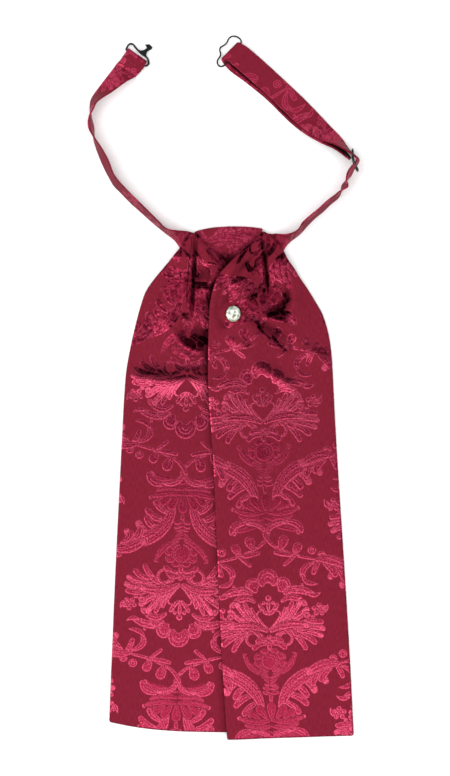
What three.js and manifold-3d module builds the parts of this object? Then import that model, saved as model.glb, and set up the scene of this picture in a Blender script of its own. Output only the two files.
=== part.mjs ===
// A ready-tied silk damask cravat, laid flat on a table with its front up.
// Millimetres. X runs to the right, Y from the hems to the neckband, Z up from the table,
// and the origin lies on the table under the middle of the cravat.
import * as THREE from 'three';
import { mergeVertices } from 'three/addons/utils/BufferGeometryUtils.js';
import Module from 'manifold-3d';

const wasm = await Module();
wasm.setup();

// Driving sizes
const BLADE_WALL = 2.2; // damask folded double over its interlining
const YOKE_WALL = 1.2;
const BAND_WIDTH = 16.6;
const BAND_WALL = 1.2;
const LAYER_GAP = 0.4; // between cloth layers that lie on each other
const WIRE = 1.15; // diameter of the hook and loop wire
const SLIDER_WIRE = 1.4;
const TUNNEL = 1.8; // clear height inside the folded band ends, round a wire
const KNOT_HEIGHT = 5.3; // what the blades' heads lie on, above the table

// Finishes
const DAMASK = { color: 0x8c2439, roughness: 0.5, metalness: 0 };
const BLACK_METAL = { color: 0x0c1512, roughness: 0.35, metalness: 0.6 };
const GILT_METAL = { color: 0xc9b98e, roughness: 0.3, metalness: 1 };
const STONE = { color: 0xe9ece6, roughness: 0.08, metalness: 0 };

const cravat = new THREE.Group();

function addPiece(parent, name, geometry, finish) {
  const piece = new THREE.Mesh(geometry, new THREE.MeshStandardMaterial(finish));
  piece.name = name;
  parent.add(piece);
  return piece;
}

function smoothStep(from, to, value) {
  const t = Math.min(1, Math.max(0, (value - from) / (to - from)));
  return t * t * (3 - 2 * t);
}

// A value between the rows of a table that runs down the cravat, y falling from row to row
function atHeight(rows, column, y) {
  const last = rows.length - 1;
  if (y >= rows[0].y) return rows[0][column];
  if (y <= rows[last].y) return rows[last][column];
  const below = rows.findIndex((row) => row.y <= y);
  const [upper, lower] = [rows[below - 1], rows[below]];
  const part = (upper.y - y) / (upper.y - lower.y);
  return upper[column] + (lower[column] - upper[column]) * part;
}

// A smooth value along a table's rows, place 0 being its first row
function alongRows(rows, column, place) {
  const index = Math.min(rows.length - 2, Math.floor(place));
  const t = place - index;
  const pick = (i) => rows[Math.min(rows.length - 1, Math.max(0, i))][column];
  const [p0, p1, p2, p3] = [pick(index - 1), pick(index), pick(index + 1), pick(index + 2)];
  const bend = (2 * p0 - 5 * p1 + 4 * p2 - p3) * t * t + (3 * p1 - p0 - 3 * p2 + p3) * t * t * t;
  return 0.5 * (2 * p1 + (p2 - p0) * t + bend);
}

// Closed meshes

// Rings of points joined into one closed wall, with a flat cap over each end ring
function closedTube(rings) {
  const positions = rings.flat().flatMap((p) => [p.x, p.y, p.z]);
  const around = rings[0].length;
  const index = [];
  for (let i = 0; i + 1 < rings.length; i += 1) {
    for (let k = 0; k < around; k += 1) {
      const next = (k + 1) % around;
      const [a, b] = [i * around + k, i * around + next];
      index.push(a, b, b + around, a, b + around, a + around);
    }
  }
  const end = (rings.length - 1) * around;
  for (let k = 1; k + 1 < around; k += 1) {
    index.push(0, k + 1, k, end, end + k, end + k + 1);
  }
  return facingOut(positions, index);
}

// Rings of points joined into one closed loop of wire
function closedLoop(rings) {
  const positions = rings.flat().flatMap((p) => [p.x, p.y, p.z]);
  const around = rings[0].length;
  const index = [];
  rings.forEach((ring, i) => {
    const after = ((i + 1) % rings.length) * around;
    for (let k = 0; k < around; k += 1) {
      const next = (k + 1) % around;
      const [a, b] = [i * around + k, i * around + next];
      index.push(a, b, after + next, a, after + next, after + k);
    }
  });
  return facingOut(positions, index);
}

// A cloth wall from a grid of upper points and a grid of lower points, with a rim row between
function clothWall(upper, lower, rim) {
  const [rows, columns] = [upper.length, upper[0].length];
  const positions = [...upper.flat(), ...lower.flat(), ...rim].flatMap((p) => [p.x, p.y, p.z]);
  const count = rows * columns;
  const index = [];
  for (let i = 0; i + 1 < rows; i += 1) {
    for (let j = 0; j + 1 < columns; j += 1) {
      const a = i * columns + j;
      const c = a + columns;
      index.push(a, c, c + 1, a, c + 1, a + 1);
      index.push(count + a, count + c + 1, count + c, count + a, count + a + 1, count + c + 1);
    }
  }
  const edge = edgeOrder(rows, columns);
  edge.forEach((a, k) => {
    const b = edge[(k + 1) % edge.length];
    const [ra, rb] = [2 * count + k, 2 * count + ((k + 1) % edge.length)];
    index.push(a, rb, ra, a, b, rb, ra, count + b, count + a, ra, rb, count + b);
  });
  return facingOut(positions, index);
}

// The grid points round a wall's edge, in order
function edgeOrder(rows, columns) {
  const order = [];
  for (let j = 0; j < columns - 1; j += 1) order.push(j);
  for (let i = 0; i < rows - 1; i += 1) order.push(i * columns + columns - 1);
  for (let j = columns - 1; j > 0; j -= 1) order.push((rows - 1) * columns + j);
  for (let i = rows - 1; i > 0; i -= 1) order.push(i * columns);
  return order;
}

function facingOut(positions, index) {
  let volume = 0;
  const corner = (i) => new THREE.Vector3().fromArray(positions, 3 * i);
  for (let i = 0; i < index.length; i += 3) {
    const [a, b, c] = [corner(index[i]), corner(index[i + 1]), corner(index[i + 2])];
    volume += a.dot(b.cross(c));
  }
  if (volume < 0) {
    for (let i = 0; i < index.length; i += 3) {
      [index[i + 1], index[i + 2]] = [index[i + 2], index[i + 1]];
    }
  }
  const geometry = new THREE.BufferGeometry();
  geometry.setAttribute('position', new THREE.Float32BufferAttribute(positions, 3));
  geometry.setIndex(index);
  return geometry;
}

// Several overlapping geometries joined into one body
function joined(geometries) {
  const bodies = geometries.map((geometry) => {
    const plain = geometry.clone();
    plain.deleteAttribute('normal');
    plain.deleteAttribute('uv');
    const merged = mergeVertices(plain);
    return new wasm.Manifold(new wasm.Mesh({
      numProp: 3,
      vertProperties: Float32Array.from(merged.attributes.position.array),
      triVerts: Uint32Array.from(merged.index.array),
    }));
  });
  const mesh = bodies.reduce((sum, body) => sum.add(body)).getMesh();
  const geometry = new THREE.BufferGeometry();
  geometry.setAttribute('position', new THREE.Float32BufferAttribute(mesh.vertProperties, 3));
  geometry.setIndex([...mesh.triVerts]);
  return geometry;
}

// Heights over the table, sampled on a grid, so that cloth can be laid over what is under it
const FIELD = { left: -102, bottom: -262, step: 2, columns: 102, rows: 196 };

function heightField(height) {
  const cells = [];
  for (let r = 0; r < FIELD.rows; r += 1) {
    for (let c = 0; c < FIELD.columns; c += 1) {
      cells.push(height(FIELD.left + c * FIELD.step, FIELD.bottom + r * FIELD.step));
    }
  }
  return cells;
}

function neighbours(radius) {
  const reach = Math.floor(radius / FIELD.step);
  const found = [];
  for (let r = -reach; r <= reach; r += 1) {
    for (let c = -reach; c <= reach; c += 1) {
      if (Math.hypot(r, c) * FIELD.step <= radius) found.push([r, c]);
    }
  }
  return found;
}

function spread(cells, radius, combine) {
  const near = neighbours(radius);
  const at = (r, c) => cells[Math.min(FIELD.rows - 1, Math.max(0, r)) * FIELD.columns
    + Math.min(FIELD.columns - 1, Math.max(0, c))];
  return cells.map((_, k) => {
    const [r, c] = [Math.floor(k / FIELD.columns), k % FIELD.columns];
    return combine(near.map(([dr, dc]) => at(r + dr, c + dc)));
  });
}

// Cloth bridges a step: it lies on the highest thing within its reach and slopes off smoothly
function laidOver(cells, reach, margin) {
  const highest = spread(cells, reach + margin, (values) => Math.max(...values));
  const mean = (values) => values.reduce((sum, value) => sum + value, 0) / values.length;
  return spread(highest, reach, mean);
}

function fieldAt(cells, x, y) {
  const column = Math.min(FIELD.columns - 2, Math.max(0, (x - FIELD.left) / FIELD.step));
  const row = Math.min(FIELD.rows - 2, Math.max(0, (y - FIELD.bottom) / FIELD.step));
  const [c, r] = [Math.floor(column), Math.floor(row)];
  const [s, t] = [column - c, row - r];
  const cell = (dr, dc) => cells[(r + dr) * FIELD.columns + c + dc];
  const low = cell(0, 0) * (1 - s) + cell(0, 1) * s;
  const high = cell(1, 0) * (1 - s) + cell(1, 1) * s;
  return low * (1 - t) + high * t;
}

// Folds: each runs from a start by a bend to an end, as a ridge (rise over 0) or a trough.
// side 0 is a soft fold, and 1 or -1 keeps only its right or its left half.
const LEFT_FOLDS = [
  { x1: -19.6, y1: 113, x2: -21, y2: 85, x3: -23, y3: 44, width: 1.6, rise: -3.2, side: 0 },
  { x1: -22, y1: 112, x2: -26, y2: 88, x3: -27, y3: 56, width: 5.5, rise: 1.6, side: -1 },
  { x1: -17, y1: 108, x2: -11, y2: 97, x3: -6, y3: 82, width: 5, rise: 2.0, side: 0 },
  { x1: -21, y1: 80, x2: -14, y2: 83, x3: -7, y3: 80, width: 3.6, rise: -2.6, side: 0 },
  { x1: -22, y1: 69, x2: -14, y2: 74, x3: -6, y3: 68, width: 4, rise: 2.4, side: 0 },
  { x1: -34, y1: 44, x2: -31, y2: 51, x3: -24, y3: 51, width: 2.6, rise: 1.6, side: 0 },
  { x1: -22, y1: 44, x2: -16, y2: 37, x3: -9, y3: 40, width: 5, rise: -3.0, side: 0 },
  { x1: -37, y1: 46, x2: -35, y2: 27, x3: -8, y3: 24, width: 4.6, rise: 3.4, side: 0 },
  { x1: -68, y1: 9, x2: -38, y2: 3, x3: -4, y3: 8, width: 7, rise: 3.2, side: 0 },
  { x1: -27, y1: 104, x2: -38, y2: 72, x3: -44, y3: 25, width: 8, rise: 1.2, side: 0 },
  { x1: -31, y1: 96, x2: -48, y2: 66, x3: -56, y3: 30, width: 5, rise: -1.2, side: 0 },
];
const RIGHT_FOLDS = [
  { x1: 28.5, y1: 112, x2: 31, y2: 92, x3: 31.5, y3: 68, width: 1.7, rise: -3.4, side: 0 },
  { x1: 27, y1: 108, x2: 28, y2: 92, x3: 29, y3: 72, width: 4.5, rise: 1.4, side: -1 },
  { x1: 26, y1: 109, x2: 4, y2: 90, x3: -6.5, y3: 60, width: 3.6, rise: 1.8, side: 0 },
  { x1: 3, y1: 86, x2: -2, y2: 64, x3: 1, y3: 38, width: 5, rise: -4.2, side: 0 },
  { x1: 19, y1: 93, x2: 10, y2: 85, x3: 5, y3: 74, width: 2.6, rise: -2.4, side: 0 },
  { x1: 24, y1: 88, x2: 14, y2: 78, x3: 9, y3: 68, width: 2.8, rise: 1.5, side: 0 },
  { x1: 30, y1: 74, x2: 24, y2: 68, x3: 15, y3: 66, width: 2.4, rise: -1.8, side: 0 },
  { x1: 46, y1: 75, x2: 48, y2: 50, x3: 24, y3: 57, width: 3.2, rise: -4.2, side: 0 },
  { x1: 52, y1: 73, x2: 54, y2: 42, x3: 28, y3: 49, width: 4.5, rise: 1.6, side: 0 },
  { x1: 18, y1: 52, x2: 34, y2: 44, x3: 54, y3: 24, width: 3.6, rise: -3.4, side: 0 },
  { x1: 26, y1: 60, x2: 40, y2: 50, x3: 58, y3: 32, width: 4, rise: 1.4, side: 0 },
  { x1: 36, y1: 100, x2: 50, y2: 72, x3: 60, y3: 36, width: 8, rise: 1.2, side: 0 },
];
const YOKE_FOLDS = [
  { x1: 8, y1: 115, x2: 14, y2: 106, x3: -4, y3: 98, width: 2.6, rise: 1.7, side: 0 },
  { x1: 24, y1: 112, x2: 18, y2: 106, x3: 4, y3: 97, width: 2.4, rise: 1.4, side: 0 },
];

function foldHeight(folds, x, y) {
  return folds.reduce((sum, fold) => sum + oneFold(fold, x, y), 0);
}

// A fold keeps its full height from FOLD_OPEN to FOLD_CLOSE of its length and fades at its ends,
// less at its start, where most folds come out of the knot
const FOLD_STEPS = 24;
const FOLD_START = -0.12;
const FOLD_OPEN = 0.22;
const FOLD_CLOSE = 0.72;

function oneFold(fold, x, y) {
  let nearest = { distance: Infinity, t: 0, side: 1 };
  for (let k = 0; k <= FOLD_STEPS; k += 1) {
    const t = k / FOLD_STEPS;
    const [a, b, c] = [(1 - t) ** 2, 2 * t * (1 - t), t * t];
    const dx = x - (a * fold.x1 + b * fold.x2 + c * fold.x3);
    const dy = y - (a * fold.y1 + b * fold.y2 + c * fold.y3);
    const distance = Math.hypot(dx, dy);
    if (distance < nearest.distance) nearest = { distance, t, side: Math.sign(dx) };
  }
  const share = smoothStep(FOLD_START, FOLD_OPEN, nearest.t) * smoothStep(1, FOLD_CLOSE, nearest.t);
  const half = fold.side === 0 || fold.side === nearest.side ? 1 : 0;
  return half * share * fold.rise * Math.exp(-((nearest.distance / fold.width) ** 2));
}

// The two blades: where each one's left and right edges run, down to the hem
const LEFT_BLADE = [
  { y: 112.6, left: -20.0, right: -18.6 },
  { y: 106.5, left: -26.0, right: -16.2 },
  { y: 102.0, left: -30.4, right: -11.4 },
  { y: 97.0, left: -34.4, right: -5.6 },
  { y: 89.0, left: -40.9, right: 3.1 },
  { y: 78.0, left: -50.1, right: 8.6 },
  { y: 70.9, left: -55.1, right: 11.5 },
  { y: 63.7, left: -58.2, right: 13.8 },
  { y: 49.3, left: -62.3, right: 16.5 },
  { y: 27.7, left: -67.3, right: 18.7 },
  { y: 6.0, left: -70.6, right: 19.4 },
  { y: -37.0, left: -73.1, right: 18.0 },
  { y: -123.5, left: -77.4, right: 14.0 },
  { y: -190.0, left: -80.2, right: 11.2 },
  { y: -247.3, left: -82.2, right: 8.8 },
];
const RIGHT_BLADE = [
  { y: 112.2, left: 27.9, right: 30.5 },
  { y: 110.0, left: 26.0, right: 32.6 },
  { y: 104.2, left: 19.4, right: 38.9 },
  { y: 99.4, left: 13.7, right: 42.9 },
  { y: 92.2, left: 6.8, right: 46.6 },
  { y: 85.4, left: 0.1, right: 51.4 },
  { y: 79.6, left: -4.5, right: 54.9 },
  { y: 70.9, left: -7.6, right: 60.8 },
  { y: 62.3, left: -9.5, right: 66.1 },
  { y: 52.6, left: -10.4, right: 71.5 },
  { y: 38.2, left: -10.9, right: 75.8 },
  { y: 20.8, left: -11.2, right: 78.1 },
  { y: -8.3, left: -10.7, right: 79.6 },
  { y: -50.0, left: -7.7, right: 81.9 },
  { y: -115.6, left: -4.8, right: 86.2 },
  { y: -189.0, left: -1.6, right: 90.7 },
  { y: -252.7, left: 2.5, right: 93.7 },
];
// How far each hem is lifted at its outer corner, and where the lift starts
const HEM_START = -180;
const leftHemLift = (across) => 7.2 * (1 - across) ** 3;
const rightHemLift = (across) => 2.9 * across;

// The pin lies on a flat seat, which its blade meets again at the feather radius
const PIN = { x: 7.0, y: 53.7, rx: 5.3, ry: 5.9, seat: 6.5, feather: 11, lift: 0.6, gap: 0.3 };

// What the blades' heads lie on: the neckband where it leaves the knot, and the yoke's front
const KNOT_RESTS = [
  { left: -33, right: 44, bottom: 95, top: 118 },
  { left: -8, right: 13, bottom: 82, top: 96 },
];

function knotSupport(x, y) {
  const on = KNOT_RESTS.some((rest) => x > rest.left && x < rest.right
    && y > rest.bottom && y < rest.top);
  return on ? KNOT_HEIGHT : 0;
}

// The gathers hold air under each blade, most between full and tight, on each side of a middle
const AIR = {
  height: 4.6, reach: 34, start: 8, full: 62, tight: 84, end: 106, pressed: 0.88,
};
const LEFT_AIR_MIDDLE = -22;
const RIGHT_AIR_MIDDLE = 26;

function airUnder(x, y, middle) {
  const pressed = AIR.pressed * smoothStep(AIR.tight, AIR.end, y);
  const gathered = smoothStep(AIR.start, AIR.full, y) * (1 - pressed);
  return AIR.height * gathered * Math.exp(-(((x - middle) / AIR.reach) ** 2));
}

// How far each blade's cloth bridges a step under it, and how far it keeps clear of one
const LEFT_DRAPE = { reach: 5, margin: 1.5 };
const RIGHT_DRAPE = { reach: 9, margin: 2 };

const leftBed = laidOver(heightField(knotSupport), LEFT_DRAPE.reach, LEFT_DRAPE.margin);

function leftUnder(x, y) {
  const bed = fieldAt(leftBed, x, y);
  const puffed = bed + airUnder(x, y, LEFT_AIR_MIDDLE) + foldHeight(LEFT_FOLDS, x, y);
  return Math.max(bed, puffed);
}

function underRightBlade(x, y) {
  const past = { side: 0.5, end: 2 }; // the left blade counts this far past its edges
  const onLeft = y < LEFT_BLADE[0].y + past.end
    && y > LEFT_BLADE[LEFT_BLADE.length - 1].y - past.end
    && x < atHeight(LEFT_BLADE, 'right', y) + past.side && x > atHeight(LEFT_BLADE, 'left', y);
  const overLeft = onLeft ? leftUnder(x, y) + BLADE_WALL + LAYER_GAP : 0;
  return Math.max(knotSupport(x, y), overLeft);
}

const rightBed = laidOver(heightField(underRightBlade), RIGHT_DRAPE.reach, RIGHT_DRAPE.margin);

function rightLie(x, y) {
  const bed = fieldAt(rightBed, x, y);
  const puffed = bed + airUnder(x, y, RIGHT_AIR_MIDDLE) + foldHeight(RIGHT_FOLDS, x, y);
  return Math.max(bed, puffed);
}

const pinSeat = rightLie(PIN.x, PIN.y) + PIN.lift;

function rightUnder(x, y) {
  const away = smoothStep(PIN.seat, PIN.feather, Math.hypot(x - PIN.x, y - PIN.y));
  return pinSeat * (1 - away) + rightLie(x, y) * away;
}

// A blade's points: even columns, closer ones beside its crease, and rows that are closer in
// the gathered stretch above the lap than in the flat one below it
const BLADE_COLUMNS = 15;
const CREASE_COLUMNS = [-0.055, -0.03, -0.01, 0.01, 0.03, 0.055];
const GATHERED_STEP = 5.2;
const FLAT_STEP = 40;
const EDGE_ROUND = 0.55; // how far a wall's face lies inside its edge
const LEFT_CREASE = 0.5;
const RIGHT_CREASE = 0.57;

function bladeWall(rows, under, hemLift, crease) {
  const acrossList = [];
  const clear = CREASE_COLUMNS[CREASE_COLUMNS.length - 1];
  for (let j = 0; j <= BLADE_COLUMNS; j += 1) {
    if (Math.abs(j / BLADE_COLUMNS - crease) > clear) acrossList.push(j / BLADE_COLUMNS);
  }
  acrossList.push(...CREASE_COLUMNS.map((offset) => crease + offset));
  acrossList.sort((a, b) => a - b);
  const places = [];
  for (let k = 0; k + 1 < rows.length; k += 1) {
    const fall = rows[k].y - rows[k + 1].y;
    const steps = Math.ceil(fall / (rows[k].y > 0 ? GATHERED_STEP : FLAT_STEP));
    for (let s = 0; s < steps; s += 1) places.push(k + s / steps);
  }
  places.push(rows.length - 1);
  const place2d = (place, across, inset) => {
    const y = alongRows(rows, 'y', place);
    const [left, right] = [alongRows(rows, 'left', place), alongRows(rows, 'right', place)];
    const low = smoothStep(HEM_START, rows[rows.length - 1].y, y);
    const x = left + inset + (right - left - 2 * inset) * across;
    return { x, y: y + hemLift(across) * low };
  };
  const grid = (raise) => places.map((place, i) => acrossList.map((across) => {
    const { x, y } = place2d(place, across, EDGE_ROUND);
    const atTop = i === 0 ? -EDGE_ROUND : 0;
    const atHem = i === places.length - 1 ? EDGE_ROUND : 0;
    const inside = y + atTop + atHem;
    return new THREE.Vector3(x, inside, under(x, inside) + raise);
  }));
  const upper = grid(BLADE_WALL);
  const lower = grid(0);
  const rim = edgeOrder(places.length, acrossList.length).map((k) => {
    const [i, j] = [Math.floor(k / acrossList.length), k % acrossList.length];
    const { x, y } = place2d(places[i], acrossList[j], 0);
    return new THREE.Vector3(x, y, lower[i][j].z + BLADE_WALL / 2);
  });
  return clothWall(upper, lower, rim);
}

addPiece(cravat, 'blade_left', bladeWall(LEFT_BLADE, leftUnder, leftHemLift, LEFT_CREASE), DAMASK);
addPiece(cravat, 'blade_right', bladeWall(RIGHT_BLADE, rightUnder, rightHemLift, RIGHT_CREASE), DAMASK);

// The yoke: one piece of damask folded over the neckband, its front draped between the blades
const YOKE_SIDES = [
  { y: 117, left: -15, right: 23 },
  { y: 113, left: -19, right: 27 },
  { y: 107, left: -19.5, right: 25.5 },
  { y: 102, left: -15.5, right: 20.5 },
  { y: 97, left: -10.5, right: 15.5 },
  { y: 90, left: -3.5, right: 9.5 },
  { y: 84, left: 0, right: 6 },
];
const YOKE_FRONT_END = 84;
const YOKE_BACK_END = 97;
const YOKE_ARC = 1.6; // radius of the fold round the neckband's upper edge
const YOKE_LEFT = -19.4; // where its folded edge starts, and how long it is
const YOKE_LENGTH = 47.4;
const YOKE_CROWN = { x: 8, y: 116.7, fall: 3.2, reach: 27, power: 2.4 };

function yokeTop(x) {
  const away = Math.min(1, Math.abs(x - YOKE_CROWN.x) / YOKE_CROWN.reach);
  return YOKE_CROWN.y - YOKE_CROWN.fall * away ** YOKE_CROWN.power;
}

// The middle of the yoke's wall, from its hidden back edge over the fold to its front edge
function yokeMiddle(across, along) {
  const backShare = 0.24; // of its rows lie behind the neckband
  const arcShare = 0.44; // of its rows come before its front
  const easing = 0.2; // of its front, over which the sides leave the folded edge's line
  const rough = YOKE_LEFT + YOKE_LENGTH * across;
  const crest = yokeTop(rough) - YOKE_ARC - YOKE_WALL / 2;
  if (along < backShare) {
    const y = YOKE_BACK_END + (crest - YOKE_BACK_END) * (along / backShare);
    return { x: rough, y, z: YOKE_WALL / 2, ny: 0, nz: -1 };
  }
  if (along < arcShare) {
    const turn = -Math.PI / 2 + Math.PI * ((along - backShare) / (arcShare - backShare));
    const [ny, nz] = [Math.cos(turn), Math.sin(turn)];
    const z = YOKE_WALL / 2 + YOKE_ARC + YOKE_ARC * nz;
    return { x: rough, y: crest + YOKE_ARC * ny, z, ny, nz };
  }
  const part = (along - arcShare) / (1 - arcShare);
  const y = crest + (YOKE_FRONT_END - crest) * part;
  const [left, right] = [atHeight(YOKE_SIDES, 'left', y), atHeight(YOKE_SIDES, 'right', y)];
  const eased = smoothStep(0, easing, part);
  const x = rough * (1 - eased) + (left + (right - left) * across) * eased;
  const z = YOKE_WALL / 2 + 2 * YOKE_ARC + eased * foldHeight(YOKE_FOLDS, x, y);
  return { x, y, z, ny: 0, nz: 1 };
}

function yokeWall() {
  const [rows, columns] = [22, 15];
  const side = (sign) => {
    const grid = [];
    for (let i = 0; i <= rows; i += 1) {
      const line = [];
      for (let j = 0; j <= columns; j += 1) {
        const p = yokeMiddle(j / columns, i / rows);
        const half = (sign * YOKE_WALL) / 2;
        line.push(new THREE.Vector3(p.x, p.y + p.ny * half, p.z + p.nz * half));
      }
      grid.push(line);
    }
    return grid;
  };
  const [upper, lower] = [side(1), side(-1)];
  const rim = edgeOrder(rows + 1, columns + 1).map((k) => {
    const [i, j] = [Math.floor(k / (columns + 1)), k % (columns + 1)];
    return upper[i][j].clone().add(lower[i][j]).multiplyScalar(0.5);
  });
  return clothWall(upper, lower, rim);
}

addPiece(cravat, 'yoke', yokeWall(), DAMASK);

// The neckband: a strip whose inner edge (ix, iy) stands up where its edges are drawn closer
// in plan than its width, and whose outer edge (ox, oy) runs at the height called low
const BAND_LEFT = [
  { ix: 2.7, iy: 112.6, ox: 2.7, oy: 95.9, low: 1.55 },
  { ix: -8.3, iy: 112.5, ox: -8.3, oy: 95.8, low: 1.55 },
  { ix: -18.5, iy: 112.0, ox: -20, oy: 95.2, low: 1.55 },
  { ix: -24.5, iy: 113.0, ox: -28, oy: 96.6, low: 0.7 },
  { ix: -33.5, iy: 113.2, ox: -34.5, oy: 106.0, low: 0 },
  { ix: -41.0, iy: 114.6, ox: -42.6, oy: 112.8, low: 0 },
  { ix: -47.0, iy: 120.2, ox: -50.0, oy: 118.8, low: 0 },
  { ix: -55.9, iy: 129.1, ox: -58.9, oy: 126.7, low: 0 },
  { ix: -62.9, iy: 136.0, ox: -66.6, oy: 133.6, low: 0 },
  { ix: -69.8, iy: 142.9, ox: -73.7, oy: 140.9, low: 0 },
  { ix: -75.2, iy: 148.8, ox: -78.6, oy: 145.9, low: 0 },
  { ix: -78.8, iy: 153.8, ox: -82.4, oy: 152.3, low: 0 },
  { ix: -82.6, iy: 163.7, ox: -87.0, oy: 161.6, low: 0 },
  { ix: -87.0, iy: 171.6, ox: -90.5, oy: 170.3, low: 0 },
  { ix: -92.3, iy: 179.5, ox: -93.1, oy: 179.1, low: 0 },
  { ix: -96.7, iy: 187.9, ox: -93.5, oy: 188.6, low: 0 },
  { ix: -96.0, iy: 195.3, ox: -95.3, oy: 195.3, low: 0 },
  { ix: -93.3, iy: 200.2, ox: -95.9, oy: 203.2, low: 0 },
  { ix: -90.6, iy: 205.4, ox: -95.0, oy: 208.3, low: 0 },
  { ix: -79.6, iy: 213.0, ox: -87.7, oy: 219.2, low: 0 },
  { ix: -69.2, iy: 220.6, ox: -79.0, oy: 230.6, low: 0.4 },
  { ix: -62.3, iy: 224.8, ox: -76.2, oy: 234.6, low: 1.7 },
  { ix: -57.3, iy: 230.2, ox: -71.2, oy: 240.0, low: 3.0 },
];
const BAND_RIGHT = [
  { ix: 3.3, iy: 112.6, ox: 3.3, oy: 95.9, low: 1.55 },
  { ix: 14.0, iy: 112.5, ox: 14.0, oy: 95.8, low: 1.55 },
  { ix: 29.0, iy: 112.2, ox: 30.0, oy: 95.5, low: 1.55 },
  { ix: 36.5, iy: 111.6, ox: 39.5, oy: 95.0, low: 0.7 },
  { ix: 46.0, iy: 110.7, ox: 46.3, oy: 104.2, low: 0 },
  { ix: 53.4, iy: 113.7, ox: 55.3, oy: 111.7, low: 0 },
  { ix: 56.8, iy: 119.0, ox: 60.1, oy: 117.0, low: 0 },
  { ix: 61.8, iy: 123.6, ox: 65.5, oy: 122.5, low: 0 },
  { ix: 67.5, iy: 128.2, ox: 71.3, oy: 127.2, low: 0 },
  { ix: 73.5, iy: 133.7, ox: 77.3, oy: 133.0, low: 0 },
  { ix: 79.9, iy: 138.6, ox: 82.4, oy: 137.2, low: 0 },
  { ix: 83.7, iy: 141.6, ox: 84.3, oy: 140.9, low: 0 },
  { ix: 89.1, iy: 144.9, ox: 85.4, oy: 146.2, low: 0 },
  { ix: 88.0, iy: 150.3, ox: 88.7, oy: 150.1, low: 0 },
  { ix: 89.1, iy: 155.4, ox: 92.0, oy: 153.6, low: 0.7 },
  { ix: 91.6, iy: 159.0, ox: 94.0, oy: 158.1, low: 1.8 },
  { ix: 95.3, iy: 164.1, ox: 97.5, oy: 164.5, low: 1.8 },
  { ix: 90.0, iy: 169.2, ox: 91.2, oy: 170.6, low: 1.8 },
];
// The doubled stretch, in millimetres along it from the loop and across it from its middle.
// The outer layer comes from the slider, and the inner one goes back and is sewn there.
const DOUBLED = new THREE.Vector2(4.43, 244.33);
const DOUBLED_WAY = new THREE.Vector2(0.713, -0.701);
const OUTER_LAYER = [
  { along: 102.2, inner: 3.1, outer: 10.7, low: 0.9 },
  { along: 90.7, inner: -2.5, outer: 11.2, low: 1.1 },
  { along: 78, inner: -4.4, outer: 11.7, low: 1.6 },
  { along: 61.2, inner: -4.7, outer: 12.1, low: 1.6 },
  { along: 39.6, inner: -5.2, outer: 11.7, low: 1.6 },
  { along: 20, inner: -6.0, outer: 10.9, low: 1.8 },
  { along: 8.5, inner: -7.0, outer: 9.9, low: 3.0 },
  { along: 2.6, inner: -8.2, outer: 8.6, low: 3.0 },
];
const INNER_LAYER = [
  { along: 2.6, inner: -10.4, outer: 6.4, low: 0 },
  { along: 10, inner: -11.2, outer: 5.7, low: 0 },
  { along: 24.8, inner: -9.2, outer: 7.6, low: 0 },
  { along: 44, inner: -7.4, outer: 9.4, low: 0 },
  { along: 64, inner: -7.4, outer: 9.4, low: 0 },
  { along: 80, inner: -6.2, outer: 9.2, low: 0 },
  { along: 94, inner: -2.9, outer: 8.5, low: 0 },
  { along: 104.6, inner: 0.9, outer: 7.3, low: 0 },
  { along: 117.6, inner: 2.8, outer: 5.2, low: 1.5 },
];

function fromDoubled(row) {
  const across = new THREE.Vector2(-DOUBLED_WAY.y, DOUBLED_WAY.x);
  const base = DOUBLED.clone().addScaledVector(DOUBLED_WAY, row.along);
  const inner = base.clone().addScaledVector(across, row.inner);
  const outer = base.clone().addScaledVector(across, row.outer);
  return { ix: inner.x, iy: inner.y, ox: outer.x, oy: outer.y, low: row.low };
}

// Each section of a band: its middle, and the way from its outer to its inner edge
function bandSections(rows, spacing) {
  const curve = (x, y) => new THREE.CatmullRomCurve3(
    rows.map((row) => new THREE.Vector3(row[x], row[y], row.low)),
    false,
    'centripetal',
  );
  const [innerCurve, outerCurve] = [curve('ix', 'iy'), curve('ox', 'oy')];
  const spans = rows.length - 1;
  const sections = [];
  for (let k = 0; k < spans; k += 1) {
    const middle = (row) => new THREE.Vector2((row.ix + row.ox) / 2, (row.iy + row.oy) / 2);
    const length = middle(rows[k]).distanceTo(middle(rows[k + 1]));
    const steps = Math.max(1, Math.round(length / spacing));
    const last = k === spans - 1 ? 1 : 0;
    for (let s = 0; s < steps + last; s += 1) {
      const t = (k + s / steps) / spans;
      sections.push(bandSection(innerCurve.getPoint(t), outerCurve.getPoint(t)));
    }
  }
  return sections;
}

function bandSection(inner, outer) {
  const plan = new THREE.Vector2(inner.x - outer.x, inner.y - outer.y);
  const drawn = Math.min(BAND_WIDTH, plan.length());
  const stand = Math.sqrt(BAND_WIDTH ** 2 - drawn ** 2);
  plan.setLength(drawn);
  const middle = inner.clone().add(outer).multiplyScalar(0.5);
  middle.z += stand / 2;
  const across = new THREE.Vector3(plan.x, plan.y, stand).normalize();
  return { middle, across, floor: Math.max(0, inner.z) };
}

// A half turn of the band round a wire, from one layer down to the other
function bandTurn(centre, outward, fromAcross, toAcross, radius) {
  const steps = 6;
  const sections = [];
  for (let s = 0; s <= steps; s += 1) {
    const angle = Math.PI / 2 - (Math.PI * s) / steps;
    const middle = centre.clone().addScaledVector(outward, radius * Math.cos(angle));
    middle.z += radius * Math.sin(angle);
    const shift = s / steps;
    const start = fromAcross.middle.clone().lerp(toAcross.middle, shift);
    middle.x += start.x - centre.x;
    middle.y += start.y - centre.y;
    const across = fromAcross.across.clone().lerp(toAcross.across, shift).normalize();
    sections.push({ middle, across, floor: 0, turned: true });
  }
  return sections;
}

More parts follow.
